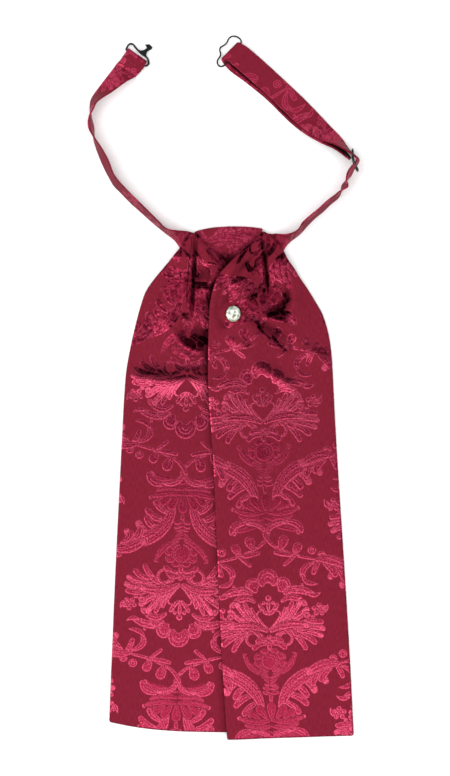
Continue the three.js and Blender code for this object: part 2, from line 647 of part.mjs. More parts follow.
// The strip swept through its sections, with chamfered edges
function bandSolid(sections) {
  const half = BAND_WIDTH / 2;
  const thick = BAND_WALL / 2;
  const corner = 0.35; // the chamfer at each edge
  const outline = [
    [half, thick - corner], [half - corner, thick], [corner - half, thick],
    [-half, thick - corner], [-half, corner - thick], [corner - half, -thick],
    [half - corner, -thick], [half, corner - thick],
  ];
  const rings = sections.map((section, k) => {
    const before = sections[Math.max(0, k - 1)].middle;
    const after = sections[Math.min(sections.length - 1, k + 1)].middle;
    const way = after.clone().sub(before).normalize();
    const face = way.clone().cross(section.across).normalize();
    const ring = outline.map(([across, out]) => section.middle.clone()
      .addScaledVector(section.across, across)
      .addScaledVector(face, out));
    if (!section.turned) {
      const lift = section.floor - Math.min(...ring.map((p) => p.z));
      ring.forEach((p) => { p.z += lift; });
    }
    return ring;
  });
  return closedTube(rings);
}

const ARC_RADIUS = (TUNNEL + BAND_WALL) / 2;
const TUNNEL_MIDDLE = BAND_WALL + TUNNEL / 2; // height of a wire that lies in a folded end
const BAND_STEP = 4.5; // between a band's sections
const RETURN_STEP = 5;
const TAIL_STEPS = [3, 6, 9]; // sections of the sewn tail, back from the folded edge

// The left end: folded under round the hook's bar, its tail sewn 9 mm back
const HOOK_END = new THREE.Vector2(-61.6, 240.2); // middle of the folded edge
const HOOK_ACROSS = new THREE.Vector3(0.818, -0.575, 0).normalize();
const HOOK_OUT = new THREE.Vector3(0.575, 0.818, 0).normalize();

function leftBand() {
  const sections = bandSections(BAND_LEFT, BAND_STEP);
  const centre = new THREE.Vector3(HOOK_END.x, HOOK_END.y, TUNNEL_MIDDLE)
    .addScaledVector(HOOK_OUT, -ARC_RADIUS - BAND_WALL / 2);
  const flat = { middle: centre, across: HOOK_ACROSS };
  sections.push(...bandTurn(centre, HOOK_OUT, flat, flat, ARC_RADIUS));
  const under = sections[sections.length - 1].middle;
  TAIL_STEPS.forEach((back) => sections.push({
    middle: under.clone().addScaledVector(HOOK_OUT, -back), across: HOOK_ACROSS, turned: true,
  }));
  return bandSolid(sections);
}

addPiece(cravat, 'neckband_left', leftBand(), DAMASK);

// The right end: through the slider, round the loop's bar and back to the slider
function rightBand() {
  const sections = bandSections([...BAND_RIGHT, ...OUTER_LAYER.map(fromDoubled)], BAND_STEP);
  const back = bandSections(INNER_LAYER.map(fromDoubled), RETURN_STEP);
  const outward = new THREE.Vector3(-DOUBLED_WAY.x, -DOUBLED_WAY.y, 0);
  const from = sections[sections.length - 1];
  const centre = new THREE.Vector3(from.middle.x, from.middle.y, TUNNEL_MIDDLE);
  sections.push(...bandTurn(centre, outward, from, back[0], ARC_RADIUS).slice(1, -1));
  sections.push(...back);
  return bandSolid(sections);
}

addPiece(cravat, 'neckband_right', rightBand(), DAMASK);

// Wire rings round a path of points
function wireRings(points, closed, diameter, sides) {
  const count = points.length;
  return points.map((point, k) => {
    const before = points[closed ? (k + count - 1) % count : Math.max(0, k - 1)];
    const after = points[closed ? (k + 1) % count : Math.min(count - 1, k + 1)];
    const way = after.clone().sub(before).normalize();
    const up = Math.abs(way.z) > 0.9 ? new THREE.Vector3(1, 0, 0) : new THREE.Vector3(0, 0, 1);
    const right = way.clone().cross(up).normalize();
    const lift = right.clone().cross(way).normalize();
    const ring = [];
    for (let s = 0; s < sides; s += 1) {
      const angle = (2 * Math.PI * (s + 0.5)) / sides;
      ring.push(point.clone().addScaledVector(right, (diameter / 2) * Math.cos(angle))
        .addScaledVector(lift, (diameter / 2) * Math.sin(angle)));
    }
    return ring;
  });
}

const FRAME_STEPS = 56; // round a bent wire frame
const FRAME_SIDES = 6;

function wireFrame(corners) {
  const curve = new THREE.CatmullRomCurve3(
    corners.map(([x, y]) => new THREE.Vector3(x, y, 0)),
    true,
    'centripetal',
  );
  const points = [];
  for (let k = 0; k < FRAME_STEPS; k += 1) points.push(curve.getPoint(k / FRAME_STEPS));
  return closedLoop(wireRings(points, true, WIRE, FRAME_SIDES));
}

// The hook: a wire frame round the band's fold, with a flat hook plate joined to its front.
// x runs along the folded edge and y out from it.
const HOOK_FRAME = [
  [-7.4, -2.5], [-3, -2.9], [1.5, -3.3], [6, -3.7], [8.6, -3.8], [10.2, -3.1], [10.5, -1.2],
  [9.2, 0.7], [6.4, 1.75], [2.2, 2.7], [-2.1, 3.7], [-5.7, 4.6], [-8.3, 4.5], [-9.7, 2.9],
  [-9.9, 0.4], [-9.3, -1.7],
];
const HOOK_PLATE = [
  [-3.0, 3.9], [-1.3, 3.9], [0.2, 4.4], [1.6, 5.4], [2.4, 7.0], [2.3, 8.4], [1.4, 9.2],
  [-0.1, 9.3], [0.4, 10.2], [2.6, 10.8], [4.5, 10.7], [5.6, 9.8], [5.8, 8.1], [5.0, 6.1],
  [4.5, 4.4], [4.9, 3.0], [6.4, 1.9], [4.5, 1.75], [1.6, 2.3], [-0.8, 2.9],
];
const HOOK_PLATE_WALL = 1.3;

function hookGeometry() {
  const outline = new THREE.Shape();
  const [start, ...rest] = HOOK_PLATE.map(([x, y]) => new THREE.Vector2(x, y));
  outline.moveTo(start.x, start.y);
  outline.splineThru([...rest, start]);
  const plate = new THREE.ExtrudeGeometry(outline, {
    depth: HOOK_PLATE_WALL, curveSegments: 3, bevelEnabled: false,
  });
  plate.translate(0, 0, -HOOK_PLATE_WALL / 2);
  return joined([wireFrame(HOOK_FRAME), plate]);
}

const hookSeat = new THREE.Group();
hookSeat.position.set(HOOK_END.x, HOOK_END.y, TUNNEL_MIDDLE);
hookSeat.rotation.z = Math.atan2(HOOK_ACROSS.y, HOOK_ACROSS.x);
cravat.add(hookSeat);
addPiece(hookSeat, 'hook', hookGeometry(), BLACK_METAL);

// The loop that the hook catches: one bent wire frame in the fold of the doubled stretch
const LOOP_FRAME = [
  [7.2, -3.05], [2.5, -3.7], [-2.5, -4.35], [-7.5, -5.0], [-11.3, -5.5], [-13.4, -4.4],
  [-14.0, -2.0], [-12.4, 0.2], [-9.9, 0.9], [-7.7, 1.5], [-6.6, 2.8], [-5.5, 4.6],
  [-3.6, 5.4], [-0.9, 4.7], [1.8, 4.6], [4.6, 5.6], [7.3, 5.3], [9.3, 3.5], [10.3, 1.0],
  [10.2, -1.2], [9.2, -2.6],
];
const loopSeat = new THREE.Group();
loopSeat.position.set(DOUBLED.x, DOUBLED.y, TUNNEL_MIDDLE);
loopSeat.rotation.z = Math.atan2(DOUBLED_WAY.x, -DOUBLED_WAY.y);
cravat.add(loopSeat);
addPiece(loopSeat, 'loop', wireFrame(LOOP_FRAME), BLACK_METAL);

// The slider: a frame of three upright bars between two long sides, standing with the band
const SLIDER_BARS = [
  { x: 93.1, y: 172.3 },
  { x: 93.2, y: 163.6 },
  { x: 96.6, y: 156.0 },
];
const SLIDER_LOW = 0.9; // height of the lower side's middle
const SLIDER_HIGH = 19.4;

function sliderGeometry() {
  const wireSides = 8;
  const sideSteps = 8;
  const upright = ({ x, y }) => [SLIDER_LOW, SLIDER_HIGH].map((z) => new THREE.Vector3(x, y, z));
  const tube = (points) => closedTube(wireRings(points, false, SLIDER_WIRE, wireSides));
  const curve = (z) => new THREE.CatmullRomCurve3(
    SLIDER_BARS.map(({ x, y }) => new THREE.Vector3(x, y, z)),
  );
  const sides = [SLIDER_LOW, SLIDER_HIGH].map((z) => tube(curve(z).getPoints(sideSteps)));
  return joined([...SLIDER_BARS.map((bar) => tube(upright(bar))), ...sides]);
}

addPiece(cravat, 'slider', sliderGeometry(), BLACK_METAL);

// The pin: a cut stone in a shallow gilt cup, pinned through the right blade
const PIN_CUP = [
  [0, 0], [0.86, 0], [1, 0.35], [1, 1.9], [0.95, 2.1], [0.9, 1.9], [0.9, 0.75], [0, 0.75],
];
const PIN_STONE = [[0, 0], [0.6, 0], [0.95, 1.0], [0.95, 1.5], [0.62, 2.7], [0.3, 3.1], [0, 3.1]];
const STONE_FIT = 0.83; // the stone's radius as a share of the cup's
const STONE_SEAT = 1.1; // the stone's underside over the cup's
const CUP_SIDES = 28;
const STONE_SIDES = 12;
const pinTop = new THREE.Group();
pinTop.position.set(PIN.x, PIN.y, pinSeat + BLADE_WALL + PIN.gap);
pinTop.scale.set(PIN.rx, PIN.ry, 1);
cravat.add(pinTop);

function turned(profile, segments) {
  const points = profile.map(([r, z]) => new THREE.Vector2(r, z));
  const geometry = new THREE.LatheGeometry(points, segments);
  geometry.rotateX(Math.PI / 2);
  return geometry;
}

addPiece(pinTop, 'pin_cup', turned(PIN_CUP, CUP_SIDES), GILT_METAL);
const stone = addPiece(pinTop, 'pin_stone', turned(PIN_STONE, STONE_SIDES), STONE);
stone.position.z = STONE_SEAT;
stone.scale.set(STONE_FIT, STONE_FIT, 1);

export default cravat;
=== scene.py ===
import math

import bpy
import numpy as np
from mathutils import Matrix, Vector
from mathutils.geometry import tessellate_polygon


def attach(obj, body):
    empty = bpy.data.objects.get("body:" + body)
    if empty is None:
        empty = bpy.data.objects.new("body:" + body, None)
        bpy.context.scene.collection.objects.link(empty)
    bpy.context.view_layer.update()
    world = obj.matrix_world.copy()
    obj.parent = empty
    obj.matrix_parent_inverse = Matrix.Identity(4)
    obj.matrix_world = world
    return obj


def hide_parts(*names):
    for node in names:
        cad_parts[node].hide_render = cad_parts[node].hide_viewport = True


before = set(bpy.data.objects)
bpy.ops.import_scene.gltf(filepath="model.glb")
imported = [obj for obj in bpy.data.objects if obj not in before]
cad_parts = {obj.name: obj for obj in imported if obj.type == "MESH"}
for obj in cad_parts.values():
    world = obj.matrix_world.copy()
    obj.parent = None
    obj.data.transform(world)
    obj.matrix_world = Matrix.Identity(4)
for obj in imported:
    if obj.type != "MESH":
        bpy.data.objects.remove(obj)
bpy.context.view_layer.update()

MM = 0.001

# Cloth
BLADE_WALL = 2.2  # damask folded double over its interlining
YOKE_WALL = 1.2
BAND_WIDTH = 16.6
BAND_WALL = 1.2
LAYER_GAP = 0.4
TUNNEL = 1.8
KNOT_HEIGHT = 5.3
VERTEX_STEP = 0.68  # between the points of a blade's face
BACK_EVERY = 4  # a blade's plain back has one point for each of these on its face

# The photograph's height, and where the camera stands
PHOTO_HEIGHT = 558.7
CAMERA_X, CAMERA_Y, CAMERA_HEIGHT = 1.1, 0.4, 3000.0
SENSOR_MM = 36.0


def table(columns, text):
    """A short table as a list of rows with named columns; words stay words."""
    names = columns.split()
    made = []
    for line in text.strip().splitlines():
        cells = [c if c[0].isalpha() else float(c) for c in line.split()]
        made.append(dict(zip(names, cells)))
    return made


def column(rows, name):
    return np.array([row[name] for row in rows])


def smooth_step(start, end, value):
    t = np.clip((value - start) / (end - start), 0, 1)
    return t * t * (3 - 2 * t)


def along_rows(rows, name, place):
    """A smooth value along a table's rows; place 0 is the first row."""
    values = column(rows, name)
    index = np.minimum(place.astype(int), len(rows) - 2)
    t = place - index
    p0, p1, p2, p3 = (values[np.clip(index + k, 0, len(rows) - 1)] for k in (-1, 0, 1, 2))
    bend = (2 * p0 - 5 * p1 + 4 * p2 - p3) * t**2 + (3 * p1 - p0 - 3 * p2 + p3) * t**3
    return 0.5 * (2 * p1 + (p2 - p0) * t + bend)


def smooth_line(points, place):
    """Points on a centripetal Catmull-Rom curve; place 0 is its first point."""
    ends = [2 * points[0] - points[1]], points, [2 * points[-1] - points[-2]]
    padded = np.vstack(ends)
    index = np.minimum(place.astype(int), len(points) - 2)
    t = (place - index)[:, None]
    p0, p1, p2, p3 = (padded[index + k] for k in range(4))
    d0, d1, d2 = (
        np.sqrt(np.linalg.norm(b - a, axis=1))[:, None] for a, b in ((p0, p1), (p1, p2), (p2, p3))
    )
    out = ((p1 - p0) / d0 - (p2 - p0) / (d0 + d1) + (p2 - p1) / d1) * d1
    into = ((p2 - p1) / d1 - (p3 - p1) / (d1 + d2) + (p3 - p2) / d2) * d1
    first = (2 * t**3 - 3 * t**2 + 1) * p1 + (t**3 - 2 * t**2 + t) * out
    return first + (3 * t**2 - 2 * t**3) * p2 + (t**3 - t**2) * into


def bend_points(x1, y1, x2, y2, x3, y3, steps):
    """Points on a quadratic curve from (x1, y1), pulled to (x2, y2), to (x3, y3)."""
    t = np.linspace(0, 1, steps + 1)[:, None]
    a, b, c = np.array((x1, y1)), np.array((x2, y2)), np.array((x3, y3))
    return (1 - t) ** 2 * a + 2 * t * (1 - t) * b + t**2 * c


def nearest_on(line, x, y):
    """How far points lie from a line of points, and how far along it, from 0 to 1."""
    best = np.full(x.shape, np.inf)
    along = np.zeros(x.shape)
    count = len(line) - 1
    for k in range(count):
        (ax, ay), (bx, by) = line[k], line[k + 1]
        dx, dy = bx - ax, by - ay
        t = np.clip(((x - ax) * dx + (y - ay) * dy) / (dx * dx + dy * dy + 1e-12), 0, 1)
        gap = np.hypot(x - ax - t * dx, y - ay - t * dy)
        closer = gap < best
        best = np.where(closer, gap, best)
        along = np.where(closer, (k + t) / count, along)
    return best, along


# Camera: straight down on the middle of the photograph
camera = bpy.data.objects.new("camera", bpy.data.cameras.new("camera"))
bpy.context.scene.collection.objects.link(camera)
camera.location = (CAMERA_X * MM, CAMERA_Y * MM, CAMERA_HEIGHT * MM)
camera.data.sensor_width = SENSOR_MM
camera.data.lens = SENSOR_MM * CAMERA_HEIGHT / PHOTO_HEIGHT
camera.data.clip_end = 20
bpy.context.scene.camera = camera


# Heights over the table, on a grid, so that cloth can be laid over what is under it
FIELD_LEFT = -104.0
FIELD_BOTTOM = -264.0
FIELD_STEP = 1.0
FIELD_X, FIELD_Y = np.meshgrid(
    FIELD_LEFT + FIELD_STEP * np.arange(210), FIELD_BOTTOM + FIELD_STEP * np.arange(396)
)


def spread(cells, radius, combine):
    """Each cell becomes the combination of all cells within the radius."""
    reach = int(radius / FIELD_STEP)
    padded = np.pad(cells, reach, mode="edge")
    height, width = cells.shape
    total, count = None, 0
    for r in range(-reach, reach + 1):
        for c in range(-reach, reach + 1):
            if math.hypot(r, c) * FIELD_STEP <= radius:
                rows = slice(reach + r, reach + r + height)
                shifted = padded[rows, reach + c : reach + c + width]
                total = shifted.copy() if total is None else combine(total, shifted)
                count += 1
    return total, count


def laid_over(cells, reach, margin):
    """Cloth bridges a step: it lies on what is highest in reach, and slopes off smoothly."""
    highest, _ = spread(cells, reach + margin, np.maximum)
    total, count = spread(highest, reach, np.add)
    return total / count


def field_at(cells, x, y):
    """The field's height at points, from a smooth cubic through its cells."""
    column_at = np.clip((x - FIELD_LEFT) / FIELD_STEP, 1, cells.shape[1] - 2.01)
    row_at = np.clip((y - FIELD_BOTTOM) / FIELD_STEP, 1, cells.shape[0] - 2.01)
    c, r = column_at.astype(int), row_at.astype(int)

    def shares(t):
        return (
            (1 - t) ** 3 / 6,
            (3 * t**3 - 6 * t**2 + 4) / 6,
            (1 + 3 * t + 3 * t**2 - 3 * t**3) / 6,
            t**3 / 6,
        )

    across = shares(column_at - c)
    total = np.zeros(x.shape)
    for i, row_share in enumerate(shares(row_at - r)):
        for j, column_share in enumerate(across):
            total += row_share * column_share * cells[r + i - 1, c + j - 1]
    return total


# Folds: each runs from a start by a bend to an end, as a ridge (rise over 0) or a trough.
# side 0 is a soft fold, and 1 or -1 keeps only its right or its left half.
FOLD_COLUMNS = "x1 y1 x2 y2 x3 y3 width rise side"
LEFT_FOLDS = table(FOLD_COLUMNS, """
-19.6 113 -21 85 -23 44 1.2 -3.0 0
-22 112 -26 88 -27 56 5.5 1.6 -1
-17 108 -11 97 -6 82 5 2.0 0
-21 80 -14 83 -7 80 3.6 -2.6 0
-22 69 -14 74 -6 68 4 2.4 0
-34 44 -31 51 -24 51 2.6 1.6 0
-22 44 -16 37 -9 40 5 -3.0 0
-37 46 -35 27 -8 24 4.6 3.4 0
-68 9 -38 3 -4 8 7 3.2 0
-27 104 -38 72 -44 25 8 1.2 0
-31 96 -48 66 -56 30 5 -1.2 0
""")
RIGHT_FOLDS = table(FOLD_COLUMNS, """
28.5 112 31 92 31.5 68 1.2 -3.2 0
27 108 28 92 29 72 4.5 1.4 -1
26 109 4 90 -6.5 60 3.6 1.8 0
3 86 -2 64 1 38 5 -4.2 0
19 93 10 85 5 74 2.6 -2.4 0
24 88 14 78 9 68 2.8 1.5 0
30 74 24 68 15 66 2.4 -1.8 0
46 75 48 50 24 57 3.2 -4.2 0
52 73 54 42 28 49 4.5 1.6 0
18 52 34 44 54 24 3.6 -3.4 0
26 60 40 50 58 32 4 1.4 0
36 100 50 72 60 36 8 1.2 0
55 29 68 27 77 14 5 1.2 0
4 34 12 34 20 25 4 1.5 0
22 16 38 11 53 -3 4.5 1.6 0
""")
YOKE_FOLDS = table(FOLD_COLUMNS, """
8 115 14 106 -4 98 2.6 1.7 0
24 112 18 106 4 97 2.4 1.4 0
""")


# A fold keeps its full rise between these shares of its length. It fades less at its start,
# where most folds come out of the knot.
FOLD_START, FOLD_OPEN, FOLD_CLOSE = -0.12, 0.22, 0.72
FOLD_STEPS = 24


def fold_height(folds, x, y):
    total = np.zeros(x.shape)
    for fold in folds:
        line = bend_points(*(fold[k] for k in FOLD_COLUMNS.split()[:6]), FOLD_STEPS)
        distance, t = nearest_on(line, x, y)
        share = smooth_step(FOLD_START, FOLD_OPEN, t) * smooth_step(1, FOLD_CLOSE, t)
        if fold["side"]:
            beside = x - np.interp(t, np.linspace(0, 1, len(line)), line[:, 0])
            share = share * (np.sign(beside) == fold["side"])
        total += share * fold["rise"] * np.exp(-((distance / fold["width"]) ** 2))
    return total


# The two blades: where each one's left and right edges run, down to the hem
LEFT_BLADE = table("y left right", """
112.6 -20.0 -18.6
106.5 -26.0 -16.2
102.0 -30.4 -11.4
97.0 -34.4 -5.6
89.0 -40.9 3.1
78.0 -50.1 8.6
70.9 -55.1 11.5
63.7 -58.2 13.8
49.3 -62.3 16.5
27.7 -67.3 18.7
6.0 -70.6 19.4
-37.0 -73.1 18.0
-123.5 -77.4 14.0
-190.0 -80.2 11.2
-247.3 -82.2 8.8
""")
RIGHT_BLADE = table("y left right", """
112.2 27.9 30.5
110.0 26.0 32.6
104.2 19.4 38.9
99.4 13.7 42.9
92.2 6.8 46.6
85.4 0.1 51.4
79.6 -4.5 54.9
70.9 -7.6 60.8
62.3 -9.5 66.1
52.6 -10.4 71.5
38.2 -10.9 75.8
20.8 -11.2 78.1
-8.3 -10.7 79.6
-50.0 -7.7 81.9
-115.6 -4.8 86.2
-189.0 -1.6 90.7
-252.7 2.5 93.7
""")
GATHER_START, GATHER_FULL = -25.0, 70.0  # how high up the pleats crumple the cloth
HEM_START = -180.0  # where each blade starts to shorten towards its outer corner
PIN_X, PIN_Y = 7.0, 53.7
PIN_RX, PIN_RY = 5.3, 5.9
PIN_SEAT, PIN_FEATHER = 6.5, 11.0  # the cloth lies flat in this radius, and not past this
PIN_RAISED = 0.6  # by the pin, over how the cloth would lie


LEFT_HEM_RISE, RIGHT_HEM_RISE = 7.2, 2.9  # how far each outer corner lies above the hem


def left_hem_lift(across):
    return LEFT_HEM_RISE * (1 - across) ** 3


def right_hem_lift(across):
    return RIGHT_HEM_RISE * across


def edge_at(rows, name, y):
    return np.interp(-y, -column(rows, "y"), column(rows, name))


# What the blades' heads lie on: the yoke, and the neckband where it leaves the knot
KNOT_RESTS = table("left right bottom top", """
-33 44 95 118
-8 13 82 96
""")


def knot_support(x, y):
    height = np.zeros(x.shape)
    for rest in KNOT_RESTS:
        on = (x > rest["left"]) & (x < rest["right"]) & (y > rest["bottom"]) & (y < rest["top"])
        height = np.where(on, KNOT_HEIGHT, height)
    return height


AIR_HEIGHT = 4.6
AIR_REACH = 34.0
AIR_START, AIR_FULL = 8.0, 62.0  # it rises between these heights up the cravat,
AIR_SINKS, AIR_PRESSED = 84.0, 106.0  # and sinks between these, where the knot holds it down
LEFT_AIR, RIGHT_AIR = -22.0, 26.0  # its middle under each blade


def air_under(x, y, middle):
    """The gathers hold air under each blade, on each side of its middle."""
    risen = smooth_step(AIR_START, AIR_FULL, y)
    gathered = risen * (1 - 0.88 * smooth_step(AIR_SINKS, AIR_PRESSED, y))
    return AIR_HEIGHT * gathered * np.exp(-(((x - middle) / AIR_REACH) ** 2))


# How far each blade slopes off from what it covers, and how far it stays at full height
LEFT_SLOPE, LEFT_MARGIN = 5.0, 1.5
RIGHT_SLOPE, RIGHT_MARGIN = 9.0, 2.0
left_bed = laid_over(knot_support(FIELD_X, FIELD_Y), LEFT_SLOPE, LEFT_MARGIN)


def left_under(x, y):
    bed = field_at(left_bed, x, y)
    return np.maximum(bed, bed + air_under(x, y, LEFT_AIR) + fold_height(LEFT_FOLDS, x, y))


SIDE_MARGIN, END_MARGIN = 0.5, 2.0  # how far past the left blade's edges its rise is taken


def under_right_blade(x, y):
    left, right = edge_at(LEFT_BLADE, "left", y), edge_at(LEFT_BLADE, "right", y)
    top, bottom = LEFT_BLADE[0]["y"], LEFT_BLADE[-1]["y"]
    on_left = (x > left) & (x < right + SIDE_MARGIN)
    on_left &= (y > bottom - END_MARGIN) & (y < top + END_MARGIN)
    over_left = np.where(on_left, left_under(x, y) + BLADE_WALL + LAYER_GAP, 0)
    return np.maximum(knot_support(x, y), over_left)


right_bed = laid_over(under_right_blade(FIELD_X, FIELD_Y), RIGHT_SLOPE, RIGHT_MARGIN)


def right_lie(x, y):
    bed = field_at(right_bed, x, y)
    return np.maximum(bed, bed + air_under(x, y, RIGHT_AIR) + fold_height(RIGHT_FOLDS, x, y))


pin_seat = right_lie(np.array([PIN_X]), np.array([PIN_Y]))[0] + PIN_RAISED


def right_under(x, y):
    away = smooth_step(PIN_SEAT, PIN_FEATHER, np.hypot(x - PIN_X, y - PIN_Y))
    return pin_seat * (1 - away) + right_lie(x, y) * away


# How far each place on the cloth lies below the mean height round it: little light gets there, and
# the material darkens it as painted shade
PAINTED_SHADE_REACH = 9.0


def seen_top():
    """The height of the cloth that is on top."""
    left, right = edge_at(RIGHT_BLADE, "left", FIELD_Y), edge_at(RIGHT_BLADE, "right", FIELD_Y)
    on_right = (FIELD_X > left) & (FIELD_X < right)
    return np.where(on_right, right_under(FIELD_X, FIELD_Y), left_under(FIELD_X, FIELD_Y))


top_total, top_count = spread(seen_top(), PAINTED_SHADE_REACH, np.add)
mean_top = top_total / top_count


def painted_shade_depth(x, y, z):
    return field_at(mean_top, x, y) - z


# Meshes
def new_piece(name, points, faces, values=None, smooth=True):
    """A piece from points in millimetres and groups of faces, with values kept at its points."""
    volume = 0.0
    for group in faces:
        corners = points[group]
        for k in range(2, group.shape[1]):
            volume += np.sum(corners[:, 0] * np.cross(corners[:, k - 1], corners[:, k]))
    ordered = []
    for group in faces:
        ordered += (group[:, ::-1] if volume < 0 else group).tolist()
    mesh = bpy.data.meshes.new(name)
    mesh.from_pydata((points * MM).tolist(), [], ordered)
    mesh.polygons.foreach_set("use_smooth", [smooth] * len(ordered))
    for key, numbers in (values or {}).items():
        mesh.attributes.new(key, "FLOAT", "POINT")
        mesh.attributes[key].data.foreach_set("value", numbers.astype(np.float32))
    piece = bpy.data.objects.new(name, mesh)
    bpy.context.scene.collection.objects.link(piece)
    return piece


def joined(above, below):
    """Quads between two closed rings of point numbers."""
    return np.stack([above, np.roll(above, -1), np.roll(below, -1), below], axis=1)


def fan(tip, line):
    """Triangles from one point number to each step of a line of them."""
    return np.stack([np.full(len(line) - 1, tip), line[:-1], line[1:]], axis=1)


def tube(rings, ends=None, shift=0):
    """Points and faces of a tube through rings, which its two end points or itself closes."""
    order = np.arange(rings.shape[0] * rings.shape[1]).reshape(rings.shape[:2])
    points = rings.reshape(-1, 3)
    quads = [joined(a, b) for a, b in zip(order, order[1:])]
    if ends is None:
        quads.append(joined(order[-1], np.roll(order[0], shift)))
        return points, np.vstack(quads), np.empty((0, 3), dtype=int)
    first, last = len(points), len(points) + 1
    caps = [fan(first, np.append(order[0], order[0][0]))[:, ::-1]]
    caps.append(fan(last, np.append(order[-1], order[-1][0])))
    return np.vstack([points, ends]), np.vstack(quads), np.vstack(caps)


def grid_quads(rows, columns, start):
    i, j = np.meshgrid(np.arange(rows - 1), np.arange(columns - 1), indexing="ij")
    a = (start + i * columns + j).ravel()
    return np.stack([a, a + columns, a + columns + 1, a + 1], axis=1)


def edge_order(rows, columns):
    """The grid points round a wall's edge, in order."""
    return np.concatenate([
        np.arange(columns - 1),
        np.arange(rows - 1) * columns + columns - 1,
        (rows - 1) * columns + np.arange(columns - 1, 0, -1),
        np.arange(rows - 1, 0, -1) * columns,
    ])


RIM_TURNS = (45, 90, 135)  # degrees round a wall's folded edge, from its face to its back


def cloth_wall(name, face, back, wall, every, values):
    """A closed wall: a fine face, a coarser back, and a round edge between them."""
    rows, columns, _ = face.shape
    back_rows, back_columns, _ = back.shape
    points = [face.reshape(-1, 3)]
    edge = edge_order(rows, columns)
    ring = face.reshape(-1, 3)[edge]
    tangent = np.roll(ring, -1, axis=0) - np.roll(ring, 1, axis=0)
    outward = np.stack([tangent[:, 1], -tangent[:, 0]], axis=1)
    outward /= np.linalg.norm(outward, axis=1)[:, None] + 1e-9
    turn = np.sum(tangent[:, 0] * ring[:, 1] - tangent[:, 1] * ring[:, 0])
    outward *= 1 if turn < 0 else -1
    count = len(edge)
    rings = [edge]
    total = rows * columns
    for degrees in RIM_TURNS:
        angle = math.radians(degrees)
        moved = ring.copy()
        moved[:, :2] += outward * (wall / 2) * math.sin(angle)
        moved[:, 2] -= (wall / 2) * (1 - math.cos(angle))
        points.append(moved)
        rings.append(total + np.arange(count))
        total += count
    points.append(back.reshape(-1, 3))
    last = total + edge_order(back_rows, back_columns)
    faces = [grid_quads(rows, columns, 0), grid_quads(back_rows, back_columns, total)[:, ::-1]]
    for above, below in zip(rings, rings[1:]):
        faces.append(joined(above, below))
    faces.append(fan_to_back(rings[-1], last, every))
    spread_values = {}
    for key, numbers in values.items():
        flat = numbers.reshape(-1)
        on_back = numbers[::every, ::every].reshape(-1)
        spread_values[key] = np.concatenate([flat, *[flat[edge]] * len(RIM_TURNS), on_back])
    return new_piece(name, np.vstack(points), faces, spread_values)


def fan_to_back(fine, coarse, every):
    """Triangles from a fine ring of points to a coarse one, several fine steps to each."""
    found = []
    for k, here in enumerate(coarse):
        after = coarse[(k + 1) % len(coarse)]
        steps = [fine[(k * every + s) % len(fine)] for s in range(every + 1)]
        half = every // 2
        found += [(steps[s], steps[s + 1], here) for s in range(half)]
        found.append((steps[half], after, here))
        found += [(steps[s], steps[s + 1], after) for s in range(half, every)]
    return np.array(found)


DENSE_STEPS = 4000
HEAD_TUCK = 0.55  # how far each blade's upper end stays inside its outline


def even_places(rows, spacing, every):
    """Places along a table's rows, at even steps in y, their count fitting the back."""
    dense = np.linspace(0, len(rows) - 1, DENSE_STEPS)
    fall = -along_rows(rows, "y", dense)
    cells = int(math.ceil((fall[-1] - fall[0]) / spacing / every)) * every
    return np.interp(np.linspace(fall[0], fall[-1], cells + 1), fall, dense)


def blade_points(rows, hem_lift, under):
    """Points on a blade's face, and the same places on its back."""
    places = even_places(rows, VERTEX_STEP, BACK_EVERY)
    widest = np.max(column(rows, "right") - column(rows, "left"))
    cells = int(math.ceil(widest / VERTEX_STEP / BACK_EVERY)) * BACK_EVERY
    across, place = np.meshgrid(np.linspace(0, 1, cells + 1), places)
    y = along_rows(rows, "y", place)
    left, right = along_rows(rows, "left", place), along_rows(rows, "right", place)
    inset = np.minimum(BLADE_WALL / 2, 0.4 * (right - left))
    low = smooth_step(HEM_START, rows[-1]["y"], y)
    x = left + inset + (right - left - 2 * inset) * across
    y = y + hem_lift(across) * low
    ends = [0, 1, len(rows) - 2, len(rows) - 1]
    y += np.interp(place, ends, [-HEAD_TUCK, 0, 0, BLADE_WALL / 2])
    z = under(x, y)
    return x, y, z


def make_blade(name, rows, hem_lift, under, chart):
    x, y, z = blade_points(rows, hem_lift, under)
    face = np.stack([x, y, z + BLADE_WALL], axis=2)
    back = np.stack([x, y, z], axis=2)[::BACK_EVERY, ::BACK_EVERY]
    values = chart(x, y)
    # painted shade: the depth below the mean height round each point, darkened in the material
    values["hollow"] = painted_shade_depth(x, y, z)
    # how high up the pleats crumple the cloth, which scales the crumples' bump and their painted
    # light and shade
    values["gather"] = smooth_step(GATHER_START, GATHER_FULL, y)
    # the slope, which the material turns into a painted highlight where the cloth leans to the
    # light and painted shade where it leans away
    values["lean"] = np.gradient(z, axis=0) / np.gradient(y, axis=0)
    return cloth_wall(name, face, back, BLADE_WALL, BACK_EVERY, values)


# The damask's figure, charted from its flowers and leaves: the right half of one
# repeat, in millimetres right of and above the foot of its heart. It is mirrored, and set in
# half drop. Each motif has how bright its floats are, and its forms in the order they are laid.
# A leaf of any outline runs from its root by a bend to its tip, a hollow is a disc of ground,
# and a narrow arc is a line in what it crosses.
REPEAT_WIDTH = 170.0  # two columns of the half drop
REPEAT_HEIGHT = 150.0
CHART_STEP = 0.25
CHART_COLUMNS = round(REPEAT_WIDTH / CHART_STEP)
CHART_ROWS = round(REPEAT_HEIGHT / CHART_STEP)
GROUND_LINE = 0.5  # ground left round each leaf that lies on others
STREAK_PITCH = 1.7  # between the streaks that run along a broad leaf
VEIN_HALF, VEIN_END = 0.34, 0.82  # half a middle vein's width, and where on the leaf it ends
STREAK_HALF, STREAK_SLANT = 0.3, 0.6
TIP = 0.9  # past this place on it, a broad leaf is all line
FORM_COLUMNS = {
    "disc": "x y width eye",
    "hollow": "x y width eye",
    "arc": "x y radius start end width",
}
LEAF_COLUMNS = "x1 y1 x2 y2 x3 y3 width veins"
